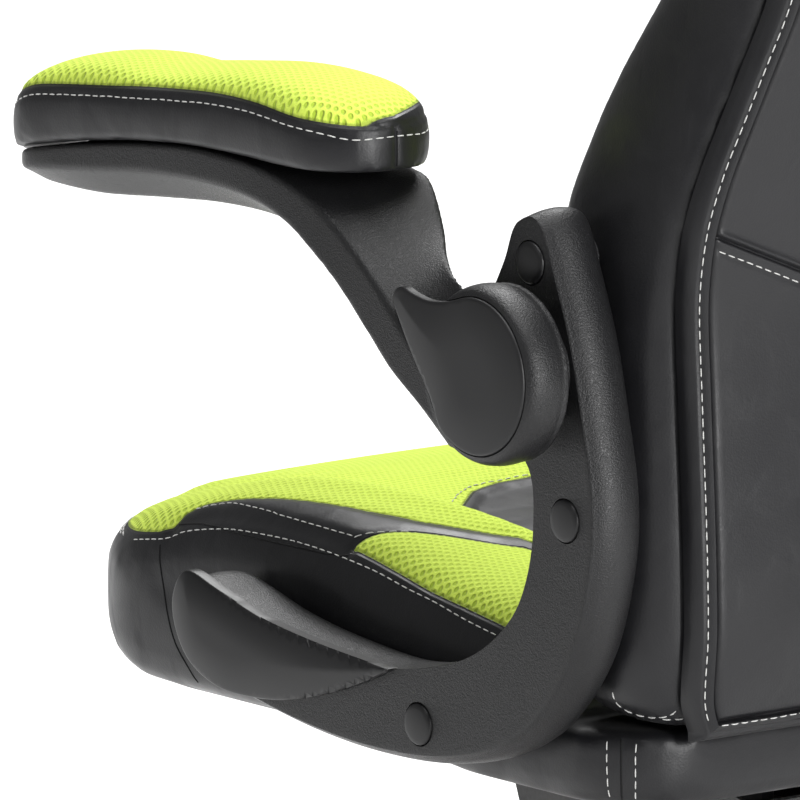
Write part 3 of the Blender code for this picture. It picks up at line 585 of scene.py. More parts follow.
def sewn_cover(name, a, b):
    """Leather where the piece's "green" attribute is below 0 and mesh where it is above; a and b name the plane
    that the mesh's holes lie in."""
    s = Surface(name, Specular_IOR_Level=SPECULAR, Sheen_Weight=SHEEN, Sheen_Roughness=0.4)
    skin_colour, skin_rough, skin_height = leather_parts(s)
    mesh_colour, mesh_rough, mesh_height = mesh_parts(s, s.part(a), s.part(b))
    edge = s.stored("green")
    green = s.range(edge, -0.0002, 0.0002)
    # along the line where leather meets mesh the cover sinks a little and is darkened towards black: the
    # darkening is painted shade in that seam groove
    seam_groove_and_shade = s.range(s.math("ABSOLUTE", edge), 0.0016, 0.0002)
    colour = s.mix(green, skin_colour, mesh_colour)
    colour = s.mix(s.math("MULTIPLY", seam_groove_and_shade, 0.45), colour, tuple(0.3 * c for c in LEATHER))
    height = s.blend(green, skin_height, mesh_height)
    height = s.math("SUBTRACT", height, s.math("MULTIPLY", seam_groove_and_shade, 0.0008))
    return s.finish(colour, s.blend(green, skin_rough, mesh_rough), s.bump(height, 1.0))


def thread_material():
    s = Surface("white thread", Specular_IOR_Level=0.3, Sheen_Weight=0.2)
    twist = s.noise(1800, 2.0)
    return s.finish(s.mix(s.range(twist, 0.3, 0.7), THREAD, tuple(0.75 * c for c in THREAD)), 0.6,
                    s.bump(twist, 0.0001))


# near-black matt tubes sunk into the seams: painted shadow along the seam lines
def seam_shadow_material():
    s = Surface("seam shadow", Specular_IOR_Level=0.2)
    nap = s.noise(900, 2.0)
    return s.finish(s.mix(nap, (0.004, 0.004, 0.004), (0.010, 0.010, 0.011)), 0.8, s.bump(nap, 0.0001))


def steel():
    """Zinc-plated steel."""
    s = Surface("zinc steel", Metallic=1.0)
    colour = (0.58, 0.58, 0.60)
    brushed = s.noise(60, 5.0, 0.7, 0.0, s.stretched(1.0, 1.0, 9.0))
    stain = s.noise(22, 4.0)
    shade = s.mix(s.range(stain, 0.35, 0.75), colour, tuple(0.72 * c for c in colour))
    return s.finish(shade, s.range(brushed, 0.3, 0.7, 0.20, 0.38), s.bump(brushed, 0.00006))


def powder_coat():
    """Black powder coat with a faint orange peel."""
    s = Surface("powder coat", Specular_IOR_Level=SPECULAR, Coat_Weight=0.15, Coat_Roughness=0.3)
    peel, dust = s.noise(320, 2.0), s.noise(18, 4.0)
    colour = s.mix(s.range(dust, 0.5, 0.8), (0.017, 0.017, 0.018), (0.034, 0.033, 0.032))
    return s.finish(colour, s.range(peel, 0.3, 0.7, 0.34, 0.48), s.bump(peel, 0.00012))


def tread():
    """Matt nylon of the wheels, scuffed in patches."""
    s = Surface("wheel nylon", Specular_IOR_Level=0.4)
    scuff, fine = s.noise(40, 5.0, 0.65), s.noise(700, 2.0)
    colour = s.mix(s.range(scuff, 0.45, 0.75), (0.022, 0.022, 0.024), (0.052, 0.050, 0.048))
    return s.finish(colour, s.range(scuff, 0.3, 0.7, 0.45, 0.7), s.bump(fine, 0.0001))


def plywood():
    """Raw ply: grain along X and thin plies in height."""
    s = Surface("plywood", Specular_IOR_Level=0.35)
    grain = s.noise(26, 6.0, 0.65, 1.2, s.stretched(1.0, 9.0, 1.0))
    plies = s.math("FRACT", s.math("MULTIPLY", s.part("Z"), 520))
    colour = s.mix(s.range(grain, 0.35, 0.65), (0.50, 0.36, 0.21), (0.34, 0.22, 0.12))
    colour = s.mix(s.math("MULTIPLY", s.range(plies, 0.35, 0.65), 0.25), colour, (0.22, 0.14, 0.07))
    return s.finish(colour, s.range(grain, 0.3, 0.7, 0.6, 0.8), s.bump(grain, 0.0003))


# ---------------------------------------------------------------- seams

def tree_of(obj):
    return BVHTree.FromPolygons([v.co for v in obj.data.vertices],
                                [tuple(p.vertices) for p in obj.data.polygons])


def snapped(tree, points, lift=0.0):
    """(point on the surface, its normal) for each point, lifted off it by a distance."""
    made = []
    for point in points:
        spot, normal, _, _ = tree.find_nearest(Vector(point))
        made.append((spot + lift * normal, normal))
    return made


def thread_bead(bm, start, end, up, radius):
    """One stitch: a short round thread that dives at both ends."""
    run = (end - start).normalized()
    across_run = run.cross(up).normalized()
    lift = across_run.cross(run).normalized()
    rings, sides = [], 6
    for share, size, rise in ((0.0, 0.45, -0.7), (0.14, 0.9, 0.1), (0.5, 1.0, 0.45), (0.86, 0.9, 0.1),
                              (1.0, 0.45, -0.7)):
        centre = start.lerp(end, share) + lift * rise * radius
        rings.append([bm.verts.new(centre + radius * size * (math.cos(a) * across_run + math.sin(a) * lift))
                      for a in (2 * math.pi * k / sides for k in range(sides))])
    lofted(bm, rings)


def mirrored(path):
    return [Vector((-p[0], p[1], p[2])) for p in path]


def stitches(name, tree, paths, body, length=0.0047, pitch=0.0066, radius=0.00036):
    """Rows of stitches on a surface, along paths that run near it."""
    bm = bmesh.new()
    for path in paths:
        spots = snapped(tree, evenly(path, 0.0017), radius * 0.35)
        line = np.array([tuple(spot) for spot, _ in spots])
        ups = [up for _, up in spots]
        run = np.concatenate([[0], np.cumsum(np.linalg.norm(np.diff(line, axis=0), axis=1))])
        at = 0.3 * pitch
        while at + length < run[-1]:
            ends = [Vector([np.interp(s, run, line[:, k]) for k in range(3)]) for s in (at, at + length)]
            up = ups[min(int(np.searchsorted(run, at + length / 2)), len(ups) - 1)]
            thread_bead(bm, *ends, up, radius)
            at += pitch
    bmesh.ops.recalc_face_normals(bm, faces=bm.faces)
    return show(bm, name, FINISH["thread"], body, sharp=0)


def cords(name, tree, paths, body, radius, finish, sunk=0.4, sides=8):
    """Thin tubes that lie on a surface along paths, such as piping or a dark tube of painted shadow along a
    seam.
    """
    bm = bmesh.new()
    for path in paths:
        spots = snapped(tree, evenly(path, 0.0025), -radius * sunk)
        centres = [spot for spot, _ in spots]
        rings = []
        for k, (spot, up) in enumerate(spots):
            run = (centres[min(k + 1, len(centres) - 1)] - centres[max(k - 1, 0)]).normalized()
            sideways = run.cross(up).normalized()
            lift = sideways.cross(run).normalized()
            rings.append([bm.verts.new(spot + radius * (math.cos(a) * sideways + math.sin(a) * lift))
                          for a in (2 * math.pi * j / sides for j in range(sides))])
        lofted(bm, rings)
    bmesh.ops.recalc_face_normals(bm, faces=bm.faces)
    return show(bm, name, finish, body, sharp=0)


# ---------------------------------------------------------------- cloth

def puffed(obj, voxel, cap, free):
    """An evenly meshed cover swelled by cloth under pressure: free(points) is 1 where it may move and 0 where
    it is held, and no point goes further than cap."""
    pressure, frames = 4.0, 20
    remeshed(obj, voxel)
    rest = coordinates(obj)
    share = free(rest)
    held = obj.vertex_groups.new(name="held")
    for level in np.unique(np.round(1 - share, 1)):
        if level > 0:
            held.add([int(k) for k in np.nonzero(np.round(1 - share, 1) == level)[0]], float(level), "REPLACE")
    cloth = obj.modifiers.new("cloth", "CLOTH")
    settings = cloth.settings
    settings.quality = 4
    settings.mass = 0.25
    settings.tension_stiffness = 18
    settings.compression_stiffness = 18
    settings.shear_stiffness = 8
    settings.bending_stiffness = 0.6
    settings.use_pressure = True
    settings.uniform_pressure_force = pressure
    settings.effector_weights.gravity = 0
    settings.vertex_group_mass = "held"
    cloth.point_cache.frame_start = 1
    cloth.point_cache.frame_end = frames
    scene = bpy.context.scene
    for number in range(1, frames + 1):
        scene.frame_set(number)
    evaluated = obj.evaluated_get(bpy.context.evaluated_depsgraph_get())
    co = np.empty(len(evaluated.data.vertices) * 3, np.float32)
    evaluated.data.vertices.foreach_get("co", co)
    obj.modifiers.clear()
    scene.frame_set(1)
    outwards = normals(obj)
    swell = np.sum((co.reshape(-1, 3) - rest) * outwards, axis=1)
    write(obj, rest + outwards * np.clip(swell, -0.1 * cap, cap * share)[:, None])
    return obj


def refined(obj):
    modifier = obj.modifiers.new("finer", "SUBSURF")
    modifier.levels = modifier.render_levels = 1
    return settle(obj)


def mark_green(obj, value):
    attribute = obj.data.attributes.new("green", "FLOAT", "POINT")
    attribute.data.foreach_set("value", value.astype(np.float32))


# ---------------------------------------------------------------- seat

SEAT_SIDE = table_along([(-0.31, 0.402), (-0.25, 0.421), (-0.16, 0.440), (-0.10, 0.444), (-0.03, 0.440),
                         (0.06, 0.426), (0.215, 0.412)], -0.31, 0.215)
RIDGE_X = table_along([(-0.31, 0.226), (-0.20, 0.213), (-0.144, 0.201), (-0.090, 0.192), (-0.04, 0.183),
                       (0.025, 0.170), (0.215, 0.164)], -0.31, 0.215)
FRONT_EDGE_Z = table_along([(-0.31, 0.4255), (-0.238, 0.4260), (-0.205, 0.4300), (-0.190, 0.4335),
                            (-0.170, 0.425), (0.215, 0.400)], -0.31, 0.215)

# seam lines on the seat's left half, in plan (X, Y)
LEAF_UPPER = [(0.2455, -0.1935), (0.239, -0.188), (0.233, -0.175), (0.230, -0.157), (0.227, -0.135),
              (0.224, -0.114), (0.219, -0.081), (0.215, -0.055), (0.206, -0.022), (0.193, 0.000), (0.178, 0.027),
              (0.173, 0.060), (0.172, 0.215)]
BOLSTER = [(0.242, -0.036), (0.236, -0.032), (0.229, -0.027), (0.224, -0.021), (0.217, -0.012), (0.207, 0.004),
           (0.196, 0.021), (0.184, 0.038), (0.179, 0.060), (0.178, 0.125), (0.2465, 0.125), (0.2445, 0.096),
           (0.2435, 0.061), (0.2435, 0.037), (0.2430, 0.011), (0.2425, -0.014)]
LEAF_LOWER = [(0.2450, -0.190), (0.2425, -0.175), (0.2415, -0.148), (0.2420, -0.127), (0.2420, -0.090),
              (0.2415, -0.065), (0.2420, -0.036)]
LEAF_STITCH = [(0.241, -0.186), (0.236, -0.168), (0.2335, -0.154), (0.2335, -0.139), (0.2345, -0.113),
               (0.236, -0.083), (0.237, -0.058), (0.2375, -0.036)]
BOLSTER_STITCH = [(0.2405, -0.041), (0.236, -0.038), (0.229, -0.032), (0.222, -0.022), (0.216, -0.014)]
SIDE_STITCH = [(0.245, -0.230, 0.4215), (0.247, -0.196, 0.427), (0.245, -0.178, 0.433), (0.246, -0.150, 0.439),
               (0.246, -0.132, 0.441), (0.246, -0.105, 0.442), (0.246, -0.075, 0.442), (0.246, -0.044, 0.440),
               (0.246, -0.009, 0.436), (0.246, 0.016, 0.431), (0.246, 0.041, 0.427), (0.247, 0.067, 0.422),
               (0.248, 0.094, 0.418), (0.248, 0.122, 0.414)]
FRONT_SEAM = [(0.250, -0.199, 0.424), (0.251, -0.195, 0.412), (0.254, -0.188, 0.391), (0.254, -0.181, 0.372),
              (0.252, -0.173, 0.361), (0.246, -0.168, 0.352)]
CENTRE = [(0.0, -0.103), (0.050, -0.1025), (0.092, -0.099), (0.116, -0.091), (0.145, -0.066), (0.163, -0.044),
          (0.168, -0.030), (0.166, -0.005), (0.161, 0.030), (0.158, 0.080), (0.158, 0.215)]

# rings round the seat's foot, for its front part and its rear part: inset, height and rise under the front edge
SEAT_FOOT = [((0.020, 0.3430, 0.013), (0.012, 0.3378, 0.018)), ((0.010, 0.3465, 0.018), (0.006, 0.3400, 0.022)),
             ((0.003, 0.3540, 0.021), (0.0015, 0.3465, 0.027)), ((0.0, 0.3660, 0.024), (0.0, 0.3570, 0.031))]


def nose(y):
    """0 over most of the seat, rising to 1 at its front edge."""
    return np.clip((-0.215 - y) / 0.095, 0, None) ** 2


def seat_top(x, y):
    """Height of the seat's top before the sewing shapes it: raised sides and a dropped front."""
    return SEAT_SIDE(y) + 0.020 + (0.004 + 0.010 * nose(y)) * (1 - np.minimum(1.0, np.abs(x) / SEAT_HALF) ** 2)


def round_rectangle(x_half, y_low, y_high, front_r, rear_r, steps):
    """Plan outline, in (X, Y), of a rectangle with round corners and evenly stepped sides."""
    made = []
    corners = [(x_half - front_r, y_low + front_r, front_r, -90),
               (x_half - rear_r, y_high - rear_r, rear_r, 0),
               (rear_r - x_half, y_high - rear_r, rear_r, 90),
               (front_r - x_half, y_low + front_r, front_r, 180)]
    for x, y, r, start in corners:
        for step in range(steps + 1):
            angle = math.radians(start + 90 * step / steps)
            made.append(Vector((x + r * math.cos(angle), y + r * math.sin(angle))))
    return evenly(made + made[:1], 0.012)[:-1]


def seat_body():
    """The cover before it swells: a little smaller than the finished seat."""
    small = 0.0012
    centre_y, depth = 0.5 * (SEAT_Y[0] + SEAT_Y[1]), 0.5 * (SEAT_Y[1] - SEAT_Y[0])
    outline = round_rectangle(SEAT_HALF - small, SEAT_Y[0] + small, SEAT_Y[1] - 0.001, 0.095, 0.050, 10)
    pocket = round_rectangle(0.2235, SEAT_Y[0] + 0.053, SEAT_Y[1] - 0.028, 0.070, 0.030, 10)
    spots = evenly(pocket + pocket[:1], 0.001)
    ring = [spots[int(k * (len(spots) - 1) / len(outline))] for k in range(len(outline))]

    def inset(by):
        return [Vector((p.x * (1 - by / SEAT_HALF), centre_y + (p.y - centre_y) * (1 - by / depth)))
                for p in outline]

    rings = [[(p.x, p.y, PAN_TOP) for p in ring], [(p.x, p.y, 0.3378) for p in ring]]
    share = [float(eased((p.y + 0.005) / 0.085)) for p in outline]
    for (by0, z0, lift0), (by1, z1, lift1) in SEAT_FOOT:
        front, rear = inset(by0), inset(by1)
        rings.append([(*p.lerp(q, t), z0 + (z1 - z0) * t + (lift0 + (lift1 - lift0) * t) * float(nose(p.y)))
                      for p, q, t in zip(front, rear, share)])
    shoulder = [(0.000, 0.046), (0.001, 0.034), (0.004, 0.024), (0.009, 0.0155), (0.017, 0.008),
                (0.028, 0.0038), (0.045, 0.001)]
    for by, drop in shoulder + [(by, 0.0) for by in (0.070, 0.110, 0.150, 0.190, 0.225)]:
        rings.append([(p.x, p.y, float(seat_top(p.x, p.y)) - small - drop * (1 - 0.75 * float(nose(p.y))))
                      for p in inset(by)])
    return skin(rings)


def make_seat():
    seat = loose(seat_body())
    joined(seat, (), [box((-0.40, LEDGE_Y, LEDGE_Z - 0.0006), (0.40, 0.40, 0.60))])

    def free(co):
        x, y, z = np.abs(co[:, 0]), co[:, 1], co[:, 2]
        above = eased((z - 0.348) / 0.012)
        ahead = eased((LEDGE_Y - 0.004 - y) / 0.020)
        sewn = [line_distance(np.stack([x, y], 1), path)
                for path in (LEAF_UPPER, LEAF_LOWER, CENTRE, BOLSTER[4:10])]
        at_seam = np.where(z > 0.40, np.exp(-(np.min(sewn, axis=0) / 0.010) ** 2), 0)
        return above * ahead * (1 - 0.85 * at_seam)

    puffed(seat, 0.0056, 0.0026, free)
    refined(seat)
    co = coordinates(seat)
    x, y, z = np.abs(co[:, 0]), co[:, 1], co[:, 2]
    plan = np.stack([x, y], 1)
    topside = eased((z - 0.400) / 0.015) * eased((LEDGE_Y + 0.004 - y) / 0.006)

    # the bolsters stand up from the middle, which is sunk, and the black inset sinks a little more
    inward = eased((RIDGE_X(y) - x) / 0.034)
    sink = np.interp(y, [-0.24, -0.16, -0.06, 0.10], [0.0, 0.003, 0.013, 0.015])
    crest = 0.0030 * np.exp(-((x - RIDGE_X(y)) / 0.011) ** 2) * eased((y + 0.22) / 0.10)
    inset = signed_distance(plan, CENTRE + [(-0.158, 0.215), (-0.158, 0.0), (0.0, -0.103)])
    co[:, 2] += topside * (crest - sink * inward - 0.0035 * eased(inset / 0.010))
    for path, depth, width in ((LEAF_UPPER, 0.0014, 0.0035), (LEAF_LOWER, 0.0016, 0.0035),
                               (BOLSTER + BOLSTER[:1], 0.0012, 0.0035), (CENTRE, 0.0018, 0.0040)):
        co[:, 2] -= topside * depth * np.exp(-(line_distance(plan, smooth_path(path, 3)) / width) ** 2)

    write(seat, co)

    green = z - FRONT_EDGE_Z(y)
    black = signed_distance(plan, LEAF_UPPER + [(0.300, 0.215), (0.300, -0.191)])
    green = np.minimum(green, -black)
    green = np.minimum(green, -inset)
    green = np.maximum(green, np.minimum(signed_distance(plan, BOLSTER), z - 0.398))
    green = np.minimum(green, (LEDGE_Y - 0.001) - y)
    mark_green(seat, green)
    finished(seat, "seat_cover", FINISH["plan cover"], "seat", "seat_cushion", sharp=0)

    # stitch rows: round the side and front, along the leaf, the bolster and the inset, and down the rear
    tree, over = tree_of(seat), 0.45
    front = [Vector((p.x, p.y, 0.4210))
             for p in round_rectangle(0.2465, SEAT_Y[0] + 0.0065, SEAT_Y[1], 0.089, 0.05, 12) if p.y < -0.236]
    front.sort(key=lambda p: math.atan2(p.x, 0.5 + p.y))
    inset_row = [(x + 0.005, y - 0.004) for x, y in CENTRE if y - 0.004 < 0.12]
    rows = [smooth_path(SIDE_STITCH, 4)]
    rows += [[Vector((*p, over)) for p in smooth_path(row, 4)]
             for row in (LEAF_STITCH, BOLSTER_STITCH, inset_row)]
    rows += [[(0.2475, 0.187, 0.379), (0.2465, 0.187, 0.340)], [(0.2395, 0.201, 0.379), (0.2385, 0.200, 0.340)]]
    paths = [p for row in rows for p in (row, mirrored(row))]
    stitches("seat_stitches", tree, paths + [front], "seat")
    # near-black tubes sunk along the front corner seams, the rear corner seams and the leaf's lower seams:
    # painted shadow in these seams
    seam_shadow_paths = [smooth_path(FRONT_SEAM, 4), [(0.2445, 0.195, 0.3795), (0.2435, 0.194, 0.3395)],
             [Vector((p.x, p.y, 0.437)) for p in smooth_path(LEAF_LOWER, 4)]]
    cords("seat_seam_shadows", tree, [p for row in seam_shadow_paths for p in (row, mirrored(row))], "seat",
          0.0007, FINISH["seam"])


# ---------------------------------------------------------------- backrest

def front_depth(z):
    return along(BACK_WING_Y, z) + along(BACK_MIDDLE_DEPTH, z)


def back_section(z, small):
    """Horizontal outline of the backrest's cover at a height: a round bolster each side, winged in front."""
    half, rear = along(BACK_HALF_WIDTH, z) - small, along(BACK_REAR_Y, z) - 0.017
    wing = along(BACK_WING_Y, z) + small
    groove = along(GROOVE_HALF, z)
    middle = front_depth(z) + small
    depth = rear - wing
    right = [(0.0, rear), (0.5 * groove, rear), (groove - 0.014, rear), (groove - 0.001, rear - 0.002),
             (0.45 * groove + 0.55 * half, rear - 0.12 * depth), (half - 0.001, rear - 0.30 * depth),
             (half, rear - 0.52 * depth), (half - 0.004, wing + 0.20 * depth),
             (half - 0.015, wing + 0.05 * depth), (half - 0.032, wing), (half - 0.060, wing + 0.05 * depth),
             (0.62 * half, 0.25 * wing + 0.75 * middle), (0.30 * half, middle), (0.0, middle)]
    return smooth_loop([(x, y) for x, y in right] + [(-x, y) for x, y in reversed(right[1:-1])], 4)


def back_body():
    """The cover before it swells."""
    small = 0.0016
    rings = []
    foot, top = BACK_FOOT + 0.0012, BACK_TOP - 0.003
    tucked, closing = 0.398, 1.135      # below and above these heights the cover rounds in
    heights = [foot + (top - foot) * k / 74 for k in range(75)]
    for z in heights:
        section = back_section(z, small)
        close = max(0.0, (z - closing) / (top - closing)) ** 2.5
        tuck = max(0.0, (tucked - z) / (tucked - foot)) ** 2
        centre = Vector((0.0, 0.5 * (along(BACK_REAR_Y, z) + front_depth(z))))
        rings.append([(*centre.lerp(p, 1 - 0.42 * close - 0.05 * tuck), z) for p in section])
    return skin(rings)


WING_INNER = table_along([(0.44, 0.118), (0.60, 0.122), (0.75, 0.112), (0.90, 0.108), (1.00, 0.122)], 0.44, 1.0)
WING_OUTER = table_along([(level, half - 0.0165) for level, half in BACK_HALF_WIDTH[:-3]], 0.3815, 1.05)
WING_Y = table_along(BACK_WING_Y, BACK_FOOT, BACK_TOP)
REAR_Y = table_along(BACK_REAR_Y, BACK_FOOT, BACK_TOP)
HEAD_PANEL = [(0.0, 1.045), (0.060, 1.048), (0.104, 1.062), (0.116, 1.080), (0.108, 1.108), (0.078, 1.126),
              (0.0, 1.132)]
CHANNELS = [0.505 + 0.062 * k for k in range(8)]


def make_back():
    back = loose(back_body())

    def free(co):
        x, y, z = np.abs(co[:, 0]), co[:, 1], co[:, 2]
        behind = eased((REAR_Y(z) - 0.024 - y) / 0.012)
        ends = eased((z - BACK_FOOT - 0.004) / 0.02)
        front = y < 0.5 * (REAR_Y(z) + WING_Y(z)) - 0.01
        seam = np.minimum(np.abs(x - WING_INNER(z)), np.abs(x - WING_OUTER(z)))
        at_seam = np.where(front & (z < 1.02), np.exp(-(seam / 0.012) ** 2), 0)
        across_seam = np.min([np.abs(z - level) for level in CHANNELS], axis=0)
        at_channel = np.where(front & (x < WING_INNER(z)), np.exp(-(across_seam / 0.010) ** 2), 0)
        return behind * ends * (1 - 0.9 * np.maximum(at_seam, at_channel))

    puffed(back, 0.0066, 0.0034, free)
    refined(back)
    co = coordinates(back)
    x, y, z = np.abs(co[:, 0]), co[:, 1], co[:, 2]
    facing = eased((0.5 * (REAR_Y(z) + WING_Y(z)) - y) / 0.010)
    in_body = eased((z - 0.44) / 0.006) * eased((1.000 - z) / 0.006)
    level = np.min([np.abs(z - value) for value in CHANNELS], axis=0)
    press = np.maximum.reduce([
        0.0028 * np.exp(-((x - WING_OUTER(z)) / 0.0042) ** 2) * (z < 1.03),
        0.0030 * np.exp(-((x - WING_INNER(z)) / 0.0042) ** 2) * in_body,
        0.0042 * np.exp(-(level / 0.0055) ** 2) * in_body * eased((WING_INNER(z) - x) / 0.006),
        0.0024 * np.exp(-(line_distance(np.stack([x, z], 1), smooth_path(HEAD_PANEL, 4)) / 0.0045) ** 2)])
    lumbar = 0.006 * np.exp(-((z - 0.60) / 0.085) ** 2) * eased((0.11 - x) / 0.03)
    co[:, 1] += facing * (press - lumbar)
    write(back, co)

    panel = np.minimum(np.minimum(x - WING_INNER(z), WING_OUTER(z) - x), np.minimum(z - 0.425, 1.000 - z))
    head = signed_distance(np.stack([x, z], 1), [(-0.1, 1.045), *HEAD_PANEL, (-0.1, 1.132)])
    green = np.minimum(np.maximum(panel, head), 0.5 * (REAR_Y(z) + WING_Y(z)) - y)
    mark_green(back, green)
    finished(back, "back_cover", FINISH["front cover"], "seat", "back_cushion", sharp=0)

    tree = tree_of(back)
    levels = [0.43 + 0.012 * k for k in range(49)]
    outer_row = [Vector((float(WING_OUTER(v)) + 0.0050, float(WING_Y(v)), v)) for v in levels]
    inner_row = [Vector((float(WING_INNER(v)) - 0.0055, front_depth(v), v))
                 for v in levels if 0.445 < v < 0.995]
    head_row = [Vector((p.x * 1.05, front_depth(p.y) - 0.02, 1.088 + (p.y - 1.088) * 1.12))
                for p in smooth_path(HEAD_PANEL, 4)]
    arcs = [[(0.249, 0.193, 0.404), (0.246, 0.192, 0.394), (0.241, 0.194, 0.388), (0.236, 0.201, 0.384),
             (0.232, 0.211, 0.3835), (0.229, 0.220, 0.387), (0.227, 0.224, 0.392)],
            [(0.232, 0.209, 0.3805), (0.226, 0.217, 0.380), (0.220, 0.223, 0.3815), (0.216, 0.227, 0.385)]]
    rows = [outer_row, inner_row, head_row, *[smooth_path(arc, 5) for arc in arcs]]
    stitches("back_stitches", tree, [p for row in rows for p in (row, mirrored(row))], "seat")
    # near-black tubes sunk along the outer seams of the front panel: painted shadow in these seams
    outer_seam_shadow = [Vector((float(WING_OUTER(v)), float(WING_Y(v)), v)) for v in levels]
    cords("back_seam_shadows", tree, [outer_seam_shadow, mirrored(outer_seam_shadow)], "seat", 0.0008,
          FINISH["seam"])


def v_seam(x):
    """Height of the V-shaped seam on the rear panel at x."""
    return 0.5555 + 0.400 * math.sqrt(x * x + 0.0009)


BOARD_FOOT = 0.3765     # bottom of the rear panel, which hangs a little below the seat's ledge
BAND = 0.0105           # width of the rolled band round the rear panel
GROOVE_DEPTH = 0.0165   # from the panel's face forward to where the band meets the side bolster


def board_profile(edge, seam):
    """The rear panel's offset in Y from the back's rear line, at a distance from its edge and from its V."""
    if edge < BAND:
        roll = math.sqrt(max(0.0, 1 - (1 - edge / BAND) ** 2))
        rise = -GROOVE_DEPTH + (GROOVE_DEPTH - 0.0022) * roll
        lip = 0.0007 * math.exp(-((edge - 0.94 * BAND) / 0.0009) ** 2)
        return rise + lip - 0.0013 * math.exp(-((edge - 0.56 * BAND) / 0.0014) ** 2)
    step = -0.0026 * math.exp(-((edge - BAND - 0.0011) / 0.0011) ** 2) - 0.0012
    crown = 0.0100 * (1 - math.exp(-(edge - BAND) / 0.085))
    valley = -0.0022 * math.exp(-((seam + 0.0008) / 0.0010) ** 2)
    valley += 0.0010 * math.exp(-((seam - 0.0014) / 0.0016) ** 2)
    pull = -0.0008 * math.exp(-((seam + 0.0068) / 0.0022) ** 2)
    return -0.0020 + step + crown + valley + pull


def make_board():
    """The rear panel with its rolled band, as a surface over (X, Z), refined at the band and at the V seam."""
    low, high = BOARD_FOOT, 1.158
    fine = [0.0, 0.0004, 0.0009, 0.0016, 0.0025, 0.0036, 0.0044, 0.0052, 0.0059, 0.0066, 0.0074, 0.0083,
            0.0091, 0.0099, BAND, BAND + 0.0005, BAND + 0.0011, BAND + 0.0017, BAND + 0.0024, 0.0150, 0.018,
            0.023, 0.030]
    middle = 24
    near = [-0.014, -0.0115, -0.0095, -0.0075, -0.0055, -0.004, -0.003, -0.0022, -0.0016, -0.0011, -0.0007,
            -0.0003, 0.0, 0.0003, 0.0007, 0.0011, 0.0016, 0.0024, 0.004, 0.006, 0.010]
    seam_level = v_seam(0.21)
    rows = sorted([low + f for f in fine] + [seam_level + f for f in near] + [high - f for f in fine]
                  + list(np.arange(low + 0.037, seam_level - 0.018, 0.007))
                  + list(np.arange(seam_level + 0.017, high - 0.034, 0.007)))
    verts, columns = [], 2 * len(fine) + middle - 1

    def at_edge(k, half):
        """X of a column that keeps its distance from the panel's edge."""
        return -half + fine[k] if k < len(fine) else half - fine[columns - 1 - k]

    for level in rows:
        reach = min(max((level - low) / 0.20, 0.0), max((high - level) / 0.20, 0.0), 1.0)
        follow = float(eased(reach * 1.6))
        row_half = along(GROOVE_HALF, level)
        for k in range(columns):
            inner = len(fine) <= k < columns - len(fine)
            share = (k - len(fine) + 1) / middle
            x = (row_half - fine[-1]) * (2 * share - 1) if inner else at_edge(k, row_half)
            z = level + follow * (v_seam(x) - seam_level)
            half = along(GROOVE_HALF, z)
            if not inner:
                x = at_edge(k, half)
            edge = max(0.0, min(half - abs(x), z - low, high - z))
            y = along(BACK_REAR_Y, z) + board_profile(edge, z - v_seam(x))
            verts.append((x, y, z))
    mesh = bpy.data.meshes.new("board")
    faces = [(r * columns + k, r * columns + k + 1, (r + 1) * columns + k + 1, (r + 1) * columns + k)
             for r in range(len(rows) - 1) for k in range(columns - 1)]
    mesh.from_pydata(verts, [], [face[::-1] for face in faces])
    board = placed("board", mesh)
    tree = tree_of(board)       # of the rear face alone
    thick = board.modifiers.new("thick", "SOLIDIFY")
    thick.thickness = 0.005
    thick.offset = -1
    settle(board)
    finished(board, "rear_panel", FINISH["leather"], "seat", "back_board", sharp=50)

    def on_band(z, inside):
        return Vector((along(GROOVE_HALF, z) - inside, along(BACK_REAR_Y, z) - 0.004, z))

    levels = [0.3875 + 0.006 * k for k in range(126)]
    border = [on_band(z, 0.56 * BAND) for z in levels]
    hem = [Vector((x, along(BACK_REAR_Y, 0.386), low + 0.0095)) for x in np.arange(-0.214, 0.2141, 0.004)]
    below = [Vector((x, along(BACK_REAR_Y, 0.6), v_seam(x) - 0.0068))
             for x in np.arange(-0.228, 0.2281, 0.004)]
    stitches("rear_panel_stitches", tree, [border, mirrored(border), hem, below], "seat")
    ridge = [on_band(z, 0.94 * BAND) for z in levels[1:]]
    cords("rear_panel_welt", tree, [ridge, mirrored(ridge)], "seat", 0.0009, FINISH["leather"],
          sunk=0.2)


# ---------------------------------------------------------------- arm pads

PAD_FLOOR = [(-0.224, 0.6462), (-0.207, 0.6515), (-0.190, 0.6550), (-0.145, 0.6618), (-0.090, 0.6680),
             (-0.040, 0.6704), (0.005, 0.6695), (0.050, 0.6682), (0.088, 0.6690)]
PAD_CROWN = [(-0.224, 0.678), (-0.200, 0.696), (-0.165, 0.707), (-0.120, 0.7115), (-0.085, 0.710),
             (-0.045, 0.714), (0.000, 0.718), (0.040, 0.716), (0.070, 0.709), (0.088, 0.700)]
PAD_EDGE = table_along([(-0.228, 0.677), (-0.205, 0.6825), (-0.183, 0.6890), (-0.160, 0.6920), (-0.120, 0.6955),
                        (-0.070, 0.6995), (-0.020, 0.7020), (0.015, 0.7010), (0.045, 0.6975), (0.070, 0.6950),
                        (0.092, 0.6920)], -0.228, 0.092)


